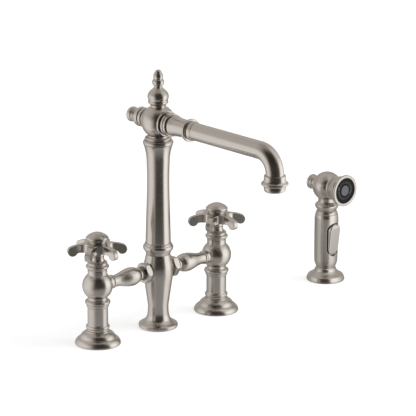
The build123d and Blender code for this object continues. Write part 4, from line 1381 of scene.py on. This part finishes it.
@dataclass
class Trigger:
    """The spray's trigger: a slot-shaped pad whose face leans out towards its thumb end."""

    centre_x: float
    pad: Stadium
    back: float = 10.6
    rim: float = 2.1
    rim_drop: float = 1.5

    FINE = 0.05  # step of the face's side view while it is softened
    SOFTNESS = 0.7
    # The back's rows: what they lack to the pad's half width, and their depth
    BACK_ROWS = ((0.5, 0), (0.15, 0.15), (0, 0.5), (0, 1.6))

    def face(self, height: Array) -> tuple[Array, Array]:
        """How far the face stands out at a height, and its slope.

        Args:
            height: Heights.

        Returns:
            The distance in front of the grip's axis, and its change with the height.
        """
        low, high, reach = self.pad.bottom, self.pad.top, 60
        z = np.arange(low - 4, high + 4, self.FINE)
        y = np.interp(z, [low, low + 2.2, high - 4.6, high], [12.9, 14.1, 18.7, 16.9])
        bell = bell_curve(self.SOFTNESS, self.FINE, reach)
        y = np.convolve(np.pad(y, reach, "edge"), bell, "valid")
        return np.interp(height, z, y), np.interp(height, z, np.gradient(y, z))

    def patches(self) -> list[Patch]:
        """The whole surface, from the middle of the back over the rim to the middle of the face.

        Returns:
            One patch, closed round the pad.
        """
        start, way = self.pad.even_spokes(20, 24)
        half, turn = self.pad.half_width, np.radians(np.linspace(0, 90, 8))
        lack, depth = np.array(self.BACK_ROWS).T
        reach = np.concatenate([
            [0, half * 0.5], half - lack,
            half - self.rim + self.rim * np.cos(turn),
            (half - self.rim) * np.array([0.75, 0.5, 0.25, 0.0]),
        ])
        behind, rows = 2 + len(lack), len(reach)
        flat = start + reach[:, None, None] * way
        front, slope = self.face(flat[..., 1])
        drop = np.zeros((rows, 1))
        drop[behind : behind + len(turn), 0] = self.rim_drop * (1 - np.sin(turn))
        lean = np.concatenate([np.zeros(behind), turn, np.full(4, pi / 2)])[:, None, None]
        out = front - drop
        out[:behind] = self.back + np.concatenate([[0, 0], depth])[:, None]
        size = np.sqrt(1 + slope**2)
        aside = grid(way[:, 0], 0.0, way[:, 1])
        normals = np.sin(lean) * grid(0.0, -1 / size, -slope / size) + np.cos(lean) * aside
        normals[:3] = (0, 1, 0)  # the flat back, and its edge half way to the side
        normals[3] = 0.7 * (aside + (0, 1, 0))
        places = grid(self.centre_x + flat[..., 0], -out, flat[..., 1])
        return [Patch(places, normals, places * (0.1, 0.1, 1), False, True)]


@dataclass
class Nozzle:
    """The black face of the spray, and the grey insert whose ribs stand in its slots."""

    axis: Axis
    seat: float = 30.0
    front: float = 34.3
    face_radius: float = 17.35
    core_radius: float = 7.2
    slots: int = 28
    slot_inner: float = 9.2
    slot_outer: float = 13.8
    slot_half: float = 0.7
    slot_depth: float = 1.2
    slot_edge: float = 0.2  # width of the smooth step at a slot's rim
    chamfer: tuple[float, float, float] = (16.9, 0.45, 0.35)  # where it starts, run and drop
    scallops: int = 12
    rib_half: float = 0.5
    rib_above: float = 0.4  # height of a rib over the face
    rib_gap: float = 0.1  # between a rib's end and its slot's
    clearance: float = 0.02  # between face and insert, whose surfaces would coincide otherwise
    scallop_depth: float = 0.035  # of the boss's radius
    boss_columns: int = 144

    # Columns across a slot, in mm from its middle, and radii of the rows outside the slots
    COLUMNS = (-0.85, -0.62, -0.5, -0.3, 0, 0.3, 0.5, 0.62, 0.85, 1.15)
    INNER_ROWS = (7.4, 7.7, 8.1, 8.6, 9.0)
    OUTER_ROWS = (14.2, 14.9, 15.2, 15.5, 16.2, 16.9, 17.15)
    NEAR_END = np.array([-0.1, 0.05, 0.2, 0.5])  # rows at a slot's end, from it inwards

    def patch(self, radius: Array, angle: Array, height: Array, outward: Array) -> Patch:
        """A patch of places round the nozzle's axis.

        Args:
            radius: Radii, (n, m).
            angle: Angles round the axis.
            height: Heights along the axis.
            outward: Which way is roughly outwards.

        Returns:
            The patch, closed round the axis where it goes right round.
        """
        whole = np.ptp(angle) > pi
        places = self.axis.place(radius, angle, height)
        normals = grid_normals(places, False, whole, outward)
        return Patch(places, normals, grid(np.cos(angle), np.sin(angle), radius), False, whole)

    def rise(self, value: Array, edge: float) -> Array:
        """A step up from 0 to 1 where a value falls below an edge."""
        return np.clip((edge - value) / self.slot_edge + 0.5, 0, 1)

    def face_patches(self) -> list[Patch]:
        """The face: a ring whose front dips into the slots.

        The depth of the front at a radius and an angle is the slots' depth times a smooth step
        across the nearest slot's side and one along its length.

        Returns:
            The front with its dips, and the back with both edges.
        """
        pitch, middle = 2 * pi / self.slots, (self.slot_inner + self.slot_outer) / 2
        turn = pitch * np.arange(self.slots)[:, None]
        angle = (turn + np.array(self.COLUMNS) / middle).ravel()
        bore = self.core_radius + self.clearance
        radius = np.concatenate([
            [bore], self.INNER_ROWS, self.slot_inner + self.NEAR_END, np.linspace(10.3, 12.8, 5),
            self.slot_outer - self.NEAR_END[::-1], self.OUTER_ROWS, [self.face_radius],
        ])
        r, a = np.meshgrid(radius, angle, indexing="ij")
        aside = np.abs((a + pitch / 2) % pitch - pitch / 2) * r
        beyond = np.maximum(self.slot_inner - r, r - self.slot_outer)
        dip = self.rise(aside, self.slot_half) * self.rise(beyond, 0.0)
        dip = dip * dip * (3 - 2 * dip)
        start, run, drop = self.chamfer
        edge = np.clip((r - start) / run, 0, 1) ** 2 * drop
        height = self.front - self.slot_depth * dip - edge
        ahead = np.array(self.axis.direction)
        front = self.patch(r, a, height, ahead)
        back_r = [self.face_radius, self.face_radius, bore, bore]
        back_h = np.array([height[-1, 0], self.seat, self.seat, height[0, 0]])[:, None]
        r, a = np.meshgrid(back_r, angle, indexing="ij")
        outward = self.axis.vector(r, a, back_h - (self.seat + 2.0))
        back = self.patch(r, a, back_h, outward)
        return [front, back]

    def insert_patches(self) -> list[Patch]:
        """The insert: a boss with a scalloped rim, and one rounded rib in every slot.

        The boss's radius falls by a quarter of a millimetre between its twelve scallops. A
        rib's height follows the sine of the angle round its section, and both its height and
        its width fall to nothing at its ends.

        Returns:
            The boss and the ribs.
        """
        core, front = self.core_radius, self.front
        outline = soften([
            (0, self.seat), (core, self.seat), (core, front + 0.1), (core - 0.35, front + 0.5),
            (6.0, front + 0.58), (5.7, front + 0.2), (5.3, front + 0.15), (0, front + 0.25),
        ], 0.12, False)
        boss = turned_patch(self.axis, outline, self.boss_columns)
        angle = np.arange(self.boss_columns) * (2 * pi / self.boss_columns)
        r, height = outline.places.T[..., None]
        valley = 1 - np.abs(np.cos(self.scallops / 2 * angle))
        r = r * (1 - self.scallop_depth * valley * np.clip((r - 5.6) / 1.2, 0, 1))
        boss.places = self.axis.place(r, angle, height)
        boss.lay = grid(np.cos(angle), np.sin(angle), r)

        middle = (self.slot_inner + self.slot_outer) / 2
        along = np.linspace(-1, 1, 9)[:, None]
        around = np.radians(np.linspace(0, 180, 7))
        end = np.sqrt(np.clip(1 - np.abs(along) ** 6, 0, 1))
        rise = (self.slot_depth + self.rib_above) * np.sin(around) ** 0.6 * end
        height = front - self.slot_depth + self.clearance + rise
        x = middle + ((self.slot_outer - self.slot_inner) / 2 - self.rib_gap) * along
        y = self.rib_half * np.cos(around) * end
        radius, angle, ahead = np.hypot(x, y), np.arctan2(y, x), np.array(self.axis.direction)
        turns = 2 * pi / self.slots * np.arange(self.slots)
        return [boss, *(self.patch(radius, angle + turn, height, ahead) for turn in turns)]


@dataclass
class SideSpray:
    """The side spray: holder on the deck, grip with its trigger, head and nozzle."""

    centre_x: float = 304.8
    head_z: float = 132.8
    ball_z: float = 132.15
    ball_radius: float = 20.1
    ball_low: float = -17.0  # the ball's seat on the neck, from its middle
    pin_y: float = -11.6
    pin_z: float = 38.3
    parts: Assembly = field(default_factory=Assembly)

    def build(self) -> None:
        """Makes the spray's pieces."""
        turn, x = self.parts.turn, self.centre_x
        front = Axis((x, 0, self.head_z), (0, -1, 0), (0, 0, 1))
        turn(ROOT, [Axis((x, 0, 0))], {"spray_holder": (0.2, [
            (8.5, -46), (13.0, -46), (13.0, 0), (25.4, 0), (26.1, 0.9), (26.05, 2.2, 0.12),
            (25.2, 4.6, 0.05), (24.6, 6.3, 0.2), (23.2, 7.8, 0.05), (20.2, 9.5, -0.05),
            (18.0, 11.0, -0.06), (16.3, 12.6, -0.04), (15.4, 13.4), (15.1, 14.2),
            (14.8, 15.7, 0.06), (13.7, 17.3), (12.7, 18.3), (12.5, 18.7), (8.5, 18.7)])})
        turn(HANDSET, [Axis((x, 0, 0))], {"spray_neck": (0.22, [
            (3.5, 99.1), (12.9, 99.1), (13.4, 100.3), (14.5, 101.9, 0.1), (15.9, 104.7, 0.1),
            (16.2, 106.1, 0.15), (15.6, 107.5), (14.4, 108.9), (12.4, 110.5, -0.15),
            (11.8, 112), (11.8, 116.8), (3.5, 116.8)])})
        ball = ball_outline(self.ball_radius, self.ball_low, self.ball_radius)
        turn(HANDSET, [Axis((x, 0, self.ball_z))], {"spray_head": (0.15, ball)}, 128)
        turn(HANDSET, [front], {"nozzle_bell": (0.18, [
            (9.2, 12.0), (15.3, 12.0), (15.5, 13.0), (15.5, 15.2), (14.4, 15.5), (14.4, 16.9),
            (15.6, 17.2, 0.12), (17.0, 20.8, 0.2), (18.5, 26.2, 0.12), (18.8, 28.6),
            (17.9, 29.6), (17.8, 31.3), (20.7, 31.8), (21.5, 32.5), (21.5, 35.0), (21.0, 35.5),
            (18.2, 35.5), (17.5, 35.0), (17.4, 33.4), (9.2, 33.4)])}, 128)
        turn(HANDSET, [Axis((x, 0, self.head_z), (0, 1, 0), (0, 0, 1))], {"spray_knob": (0.2, [
            (0, 14), (4, 14), (4, 17.2), (8.8, 17.2), (9.0, 18.0), (7.8, 19.2),
            (7.3, 20.4, -0.15), (8.6, 23.6, -0.1), (10.1, 27.4), (10.3, 28.9, 0.5),
            (8.2, 30.9, 0.3), (0, 32.0)])})
        pin = Axis((x, self.pin_y, self.pin_z), (1, 0, 0), (0, 0, 1))
        turn(HANDSET, [pin], {"trigger_pin": (0.1, [
            (0, -9.1), (1.2, -9.1), (1.5, -8.8), (1.5, 8.8), (1.2, 9.1), (0, 9.1)])},
            32, Finish.ZINC)
        grip = Grip(x, Stadium(10.6, 36.0, 83.0))
        trigger = Trigger(x, Stadium(9.3, 37.3, 81.7))
        nozzle = Nozzle(front)
        self.parts.add("spray_grip_slotted", grip.patches(), HANDSET, "spray_grip")
        self.parts.add("trigger_pad", trigger.patches(), "spray_trigger", "trigger")
        for name, patches, node, finish in (
            ("spray_face_slotted", nozzle.face_patches(), "spray_face", Finish.BLACK_PLASTIC),
            ("nozzle_insert", nozzle.insert_patches(), "nozzle_core", Finish.GREY_PLASTIC),
        ):
            self.parts.add(name, patches, HANDSET, node, finish)


# The CAD nodes that stay, by finish
KEPT_NODES = {
    Finish.BRASS: (
        "column_shank", "supply_shanks", "cartridges", "swivel_post", "left_handle_stem",
        "right_handle_stem", "hose_coupling", "lock_nuts",
    ),
    Finish.ACETAL: ("swivel_bushing",),
    Finish.RUBBER: ("union_washers", "deck_gaskets"),
    Finish.ZINC: ("left_handle_screw", "right_handle_screw", "deck_washers"),
    Finish.MESH: ("aerator_screen",),
}


# ---------------------------------------------------------------- studio
@dataclass
class Studio:
    """Pale floor, soft light, the cards that the metal reflects, and the camera.

    The cards are a dome round the object and a satin plate on the floor. Their shades are given
    by the angle in degrees to the right of the camera's side, and by height or distance.
    """

    azimuth: float = radians(-42.21)
    elevation: float = radians(16.22)
    distance: float = 3267.0
    aim: Triple = (0.0, 0.0, 146.3)
    aside: float = 63.8
    above: float = 12.9
    roll: float = radians(0.314)
    focal_pixels: float = 2548.1
    frame_pixels: float = 416.0
    sensor: float = 36.0
    dome_radius: float = 0.62
    dome_height: float = 1.0
    dome_middle: float = 0.1  # height from which the dome's elevations are taken
    plate_half: float = 2.0
    plate_drop: float = 0.0005  # of the plate below the floor
    plate_share: float = 0.6  # of the light that the plate reflects
    plate_rough: float = 0.2
    floor_half: float = 6.0
    floor_grey: float = 0.5
    floor_glow: float = 0.58  # brings the lit floor up to white for the camera alone
    world_light: float = 0.75
    lamp_swing: float = radians(92)
    lamp_away: float = 1.5  # level distance in metres
    lamp_height: float = 1.5
    lamp_size: tuple[float, float] = (1.6, 1.2)
    lamp_power: float = 27.0
    lamp_aim: Triple = (0.05, 0.0, 0.1)

    # Shade of the dome near the horizon: dark in front, bright cards on the left and the right
    LOW_SHADES = [
        (-180, 0.5), (-135, 0.5), (-112, 0.8), (-96, 0.95), (-64, 1.0), (-50, 0.86), (-38, 0.6),
        (-28, 0.22), (-19, 0.06), (30, 0.05), (46, 0.1), (57, 0.3), (62, 1.4), (96, 1.45),
        (110, 1.0), (126, 0.55), (150, 0.45), (180, 0.5),
    ]
    # and half way up, where the cards end and the room behind them is grey
    HIGH_SHADES = [
        (-180, 0.6), (-96, 0.62), (-60, 0.5), (-36, 0.15), (-22, 0.035), (34, 0.035), (52, 0.2),
        (64, 0.8), (96, 0.85), (130, 0.6), (180, 0.6),
    ]
    TOP_SHADE = 0.4
    HIGH_RISE = (18, 44)  # degrees of elevation in which the shade goes over to the half way one
    TOP_RISE = (54, 86)  # and from that to the top's
    DIM_TINT = (1.0, 0.89, 0.79, 1)
    BRIGHT_TINT = (1.0, 0.985, 0.97, 1)
    # Shade of the floor plate near the object, by the angle and by the distance in metres
    PLATE_SHADES = [(-180, 0.1), (-130, 0.14), (-100, 0.3), (100, 0.3), (130, 0.14), (180, 0.1)]
    PLATE_FADE = [(0.0, 1.0), (0.2, 1.0), (0.3, 0.68), (0.45, 0.3), (0.6, 0.12), (1.0, 0.05)]
    # and what the cards add to it further out
    PLATE_SIDES = [
        (-180, 0.0), (-120, 0.1), (-100, 0.4), (-60, 0.4), (-34, 0.0), (48, 0.0), (64, 0.5),
        (100, 0.5), (120, 0.1), (180, 0.0),
    ]
    PLATE_REACH = [(0.0, 0.0), (0.2, 0.0), (0.45, 1.0), (1.0, 1.0)]

    def build(self) -> None:
        """Sets up the whole studio."""
        self.set_world()
        self.lay_floor()
        self.hang_dome()
        self.lay_plate()
        self.set_lamp()
        self.set_camera()
        bpy.context.scene.view_settings.view_transform = "Standard"

    def set_world(self) -> None:
        """Lights the scene plainly, and shows white to the camera and in the metal."""
        world = bpy.data.worlds.new("studio")
        bpy.context.scene.world = world
        world.use_nodes = True
        world.cycles.sampling_method = "NONE"  # the cards stand before it, so it isn't aimed at
        tree = world.node_tree
        tree.nodes.clear()
        rays = add_node(tree, "LightPath").node.outputs
        seen = rays["Is Camera Ray"]
        for ray in ("Is Glossy Ray", "Is Transmission Ray"):
            seen = add_node(tree, "Math", {0: seen, 1: rays[ray]}, operation="MAXIMUM")
        levels = {"To Min": self.world_light, "To Max": 1.0}
        strength = add_node(tree, "MapRange", {"Value": seen, **levels})
        sky = add_node(tree, "Background", {"Color": (1, 1, 1, 1), "Strength": strength})
        add_node(tree, "OutputWorld", {"Surface": sky})

    def stand(self, name: str, corners: Array, faces: Array) -> bpy.types.Object:
        """Makes one card or floor of the studio, which isn't part of the object.

        Args:
            name: Its name.
            corners: Its corners in metres.
            faces: Corner numbers of its faces.

        Returns:
            The new object.
        """
        mesh = bpy.data.meshes.new(name)
        mesh.from_pydata(np.asarray(corners).tolist(), [], np.asarray(faces).tolist())
        thing = new_object(name, mesh)
        return thing

    def sheet(self, name: str, half: float, height: float) -> bpy.types.Object:
        """Makes one level square sheet, with its half side and its height in metres."""
        signs = ((-1, -1), (1, -1), (1, 1), (-1, 1))
        return self.stand(name, [(half * x, half * y, height) for x, y in signs], [range(4)])

    def lay_floor(self) -> None:
        """A wide pale floor at the deck's height, which keeps the object's shadow."""
        floor = self.sheet("floor", self.floor_half, 0.0)
        material, tree = new_tree("white_paper")
        seen = add_node(tree, "LightPath", output="Is Camera Ray")
        levels = {"To Min": 0.0, "To Max": self.floor_glow}
        glow = add_node(tree, "MapRange", {"Value": seen, **levels})
        paper = add_node(tree, "BsdfPrincipled", {
            "Base Color": (self.floor_grey,) * 3 + (1,), "Roughness": 0.9,
            "Emission Color": (1, 1, 1, 1), "Emission Strength": glow,
        })
        add_node(tree, "OutputMaterial", {"Surface": paper})
        floor.data.materials.append(material)
        floor.visible_glossy = False

    def to_camera(self, swing: float) -> Array:
        """Level direction from the object, swung to the camera's right by an angle."""
        turn = self.azimuth + swing
        return np.array([sin(turn), -cos(turn), 0.0])

    def show_in_metal(self, card: bpy.types.Object, material: bpy.types.Material) -> None:
        """Gives a card its material, and lets nothing but reflections show it.

        Args:
            card: The card.
            material: Its material.
        """
        material.cycles.emission_sampling = "NONE"
        card.data.materials.append(material)
        card.visible_camera = card.visible_diffuse = card.visible_shadow = False
        card.visible_transmission = False

    def hang_dome(self) -> None:
        """Stands a dome of cards round the object, whose shade follows angle and elevation.

        A place of the dome is the level direction times the radius times the cosine of its
        rise, and the dome's height times the sine of it.
        """
        swing = np.radians(np.linspace(-180, 180, 97))[:-1]
        rise = np.radians(np.linspace(0, 90, 25))
        level = np.stack([self.to_camera(angle) for angle in swing])
        places = self.dome_radius * np.cos(rise)[:, None, None] * level
        places[..., 2] = self.dome_height * np.sin(rise)[:, None]
        quads = Patch(places, -places, places, False, True).quads()
        dome = self.stand("dome_card", places.reshape(-1, 3), quads)

        material, tree = new_tree("dome_card")
        around, (x, y, z) = self.bearing(tree)
        square = add_node(tree, "Math", {0: x, 1: x}, operation="MULTIPLY")
        away = add_node(tree, "Math", {0: y, 1: y, 2: square}, operation="MULTIPLY_ADD")
        away = add_node(tree, "Math", {0: away}, operation="SQRT")
        above = add_node(tree, "Math", {0: z, 1: self.dome_middle}, operation="SUBTRACT")
        lift = add_node(tree, "Math", {0: above, 1: away}, operation="ARCTAN2")
        shade = self.by_angle(tree, around, self.LOW_SHADES)
        high = self.by_angle(tree, around, self.HIGH_SHADES)
        for end, (low_rise, high_rise) in (
            (high, self.HIGH_RISE), (self.TOP_SHADE, self.TOP_RISE),
        ):
            ends = {"From Min": radians(low_rise), "From Max": radians(high_rise)}
            step = add_node(
                tree, "MapRange", {"Value": lift, **ends}, interpolation_type="SMOOTHSTEP"
            )
            shade = add_node(tree, "Mix", {"Factor": step, "A": shade, "B": end}, "Result")
        tints = {"Factor": shade, "A": self.DIM_TINT, "B": self.BRIGHT_TINT}
        tint = add_node(tree, "Mix", tints, "Result", data_type="RGBA")
        glow = add_node(tree, "Emission", {"Color": tint, "Strength": shade})
        add_node(tree, "OutputMaterial", {"Surface": glow})
        self.show_in_metal(dome, material)

    def lay_plate(self) -> None:
        """Lays a satin plate on the floor, which the metal sees with the cards mirrored in it."""
        plate = self.sheet("plate_card", self.plate_half, -self.plate_drop)
        material, tree = new_tree("plate_card")
        around, _ = self.bearing(tree)
        place = add_node(tree, "TexCoord", output="Object")
        away = add_node(tree, "VectorMath", {0: place}, "Value", operation="LENGTH")
        near = add_node(tree, "Math", {
            0: self.by_angle(tree, around, self.PLATE_SHADES),
            1: self.ramp(tree, away, self.PLATE_FADE),
        }, operation="MULTIPLY")
        shade = add_node(tree, "Math", {
            0: self.by_angle(tree, around, self.PLATE_SIDES),
            1: self.ramp(tree, away, self.PLATE_REACH), 2: near,
        }, operation="MULTIPLY_ADD")
        glow = add_node(tree, "Emission", {"Color": self.BRIGHT_TINT, "Strength": shade})
        colour = (self.plate_share,) * 3 + (1,)
        finish = {"Color": colour, "Roughness": self.plate_rough}
        satin = add_node(tree, "BsdfAnisotropic", finish)
        both = add_node(tree, "AddShader", {0: glow, 1: satin})
        add_node(tree, "OutputMaterial", {"Surface": both})
        self.show_in_metal(plate, material)

    def bearing(self, tree: Tree) -> tuple[Socket, list[Socket]]:
        """Adds the angle of a card's place from the camera's side, as a share of a turn.

        Args:
            tree: The card's tree.

        Returns:
            The share, 0.5 in front, and the turned place's three parts.
        """
        place = add_node(tree, "TexCoord", output="Object")
        turn = {"Vector": place, "Angle": pi / 2 - self.azimuth}
        facing = add_node(tree, "VectorRotate", turn, rotation_type="Z_AXIS")
        parts = list(add_node(tree, "SeparateXYZ", {0: facing}).node.outputs)
        angle = add_node(tree, "Math", {0: parts[1], 1: parts[0]}, operation="ARCTAN2")
        return add_node(tree, "MapRange", {"Value": angle, "From Min": -pi, "From Max": pi}), parts

    def by_angle(self, tree: Tree, around: Socket, stops: Stops) -> Socket:
        """Adds a ramp over the angle, from (degrees, shade) pairs, and gives its output."""
        return self.ramp(tree, around, [(0.5 + turn / 360, shade) for turn, shade in stops])

    def ramp(self, tree: Tree, value: Socket, stops: Stops) -> Socket:
        """Adds a ramp of straight runs. Its curve holds half the levels, as it ends at 1.

        Args:
            tree: The card's tree.
            value: What the ramp runs over, from 0 to 1.
            stops: Place and level of each stop, with levels up to 2.

        Returns:
            The ramp's output.
        """
        half = add_node(tree, "FloatCurve", {"Value": value})
        mapping = half.node.mapping
        points = mapping.curves[0].points
        for place, level in stops[1:-1]:
            points.new(place, level / 2)
        for point, (place, level) in ((points[0], stops[0]), (points[-1], stops[-1])):
            point.location = (place, level / 2)
        for point in points:
            point.handle_type = "VECTOR"
        mapping.update()
        return add_node(tree, "Math", {0: half, 1: 2.0}, operation="MULTIPLY")

    def set_lamp(self) -> None:
        """One large soft lamp from the right and above."""
        lamp = bpy.data.lights.new("soft_lamp", "AREA")
        lamp.shape, lamp.energy = "RECTANGLE", self.lamp_power
        lamp.size, lamp.size_y = self.lamp_size
        thing = new_object("soft_lamp", lamp)
        over = (*self.lamp_aim[:2], self.lamp_height)
        place = self.to_camera(self.lamp_swing) * self.lamp_away + over
        thing.location = place
        thing.rotation_mode = "QUATERNION"
        aim = Vector(self.lamp_aim) - Vector(place)
        thing.rotation_quaternion = aim.to_track_quat("-Z", "Y")
        thing.visible_glossy = False

    def set_camera(self) -> None:
        """Stands the camera where the photograph was taken from."""
        a, e = self.azimuth, self.elevation
        right = np.array([cos(a), sin(a), 0])
        ahead = np.array([-sin(a) * cos(e), cos(a) * cos(e), -sin(e)])
        up = np.cross(right, ahead)
        aim = np.array(self.aim) + self.aside * right + self.above * up
        c, s = cos(self.roll), sin(self.roll)
        camera = bpy.data.cameras.new("camera")
        camera.sensor_width = self.sensor
        camera.lens = self.focal_pixels / self.frame_pixels * self.sensor
        camera.clip_start, camera.clip_end = 0.1, 50.0
        thing = new_object("camera", camera)
        matrix = np.eye(4)
        matrix[:3, :3] = np.stack([c * right + s * up, -s * right + c * up, -ahead], axis=1)
        matrix[:3, 3] = (aim - self.distance * ahead) * MM
        thing.matrix_world = Matrix(matrix.tolist())
        bpy.context.scene.camera = thing


def main() -> None:
    """Builds every sub-assembly and the studio."""
    logging.basicConfig(level=logging.INFO, format="%(message)s")
    palette = Palette()
    makers = [
        Column(), Valves(), Bridge(), Handle("left", -VALVE_X), Handle("right", VALVE_X),
        Spout(), SideSpray(),
    ]
    for maker in makers:
        maker.build()
        maker.parts.dress(palette)
    for finish, nodes in KEPT_NODES.items():
        for node in nodes:
            palette.paint(frame["nodes"][node], finish)
    Studio().build()


if __name__ == "__main__":
    main()
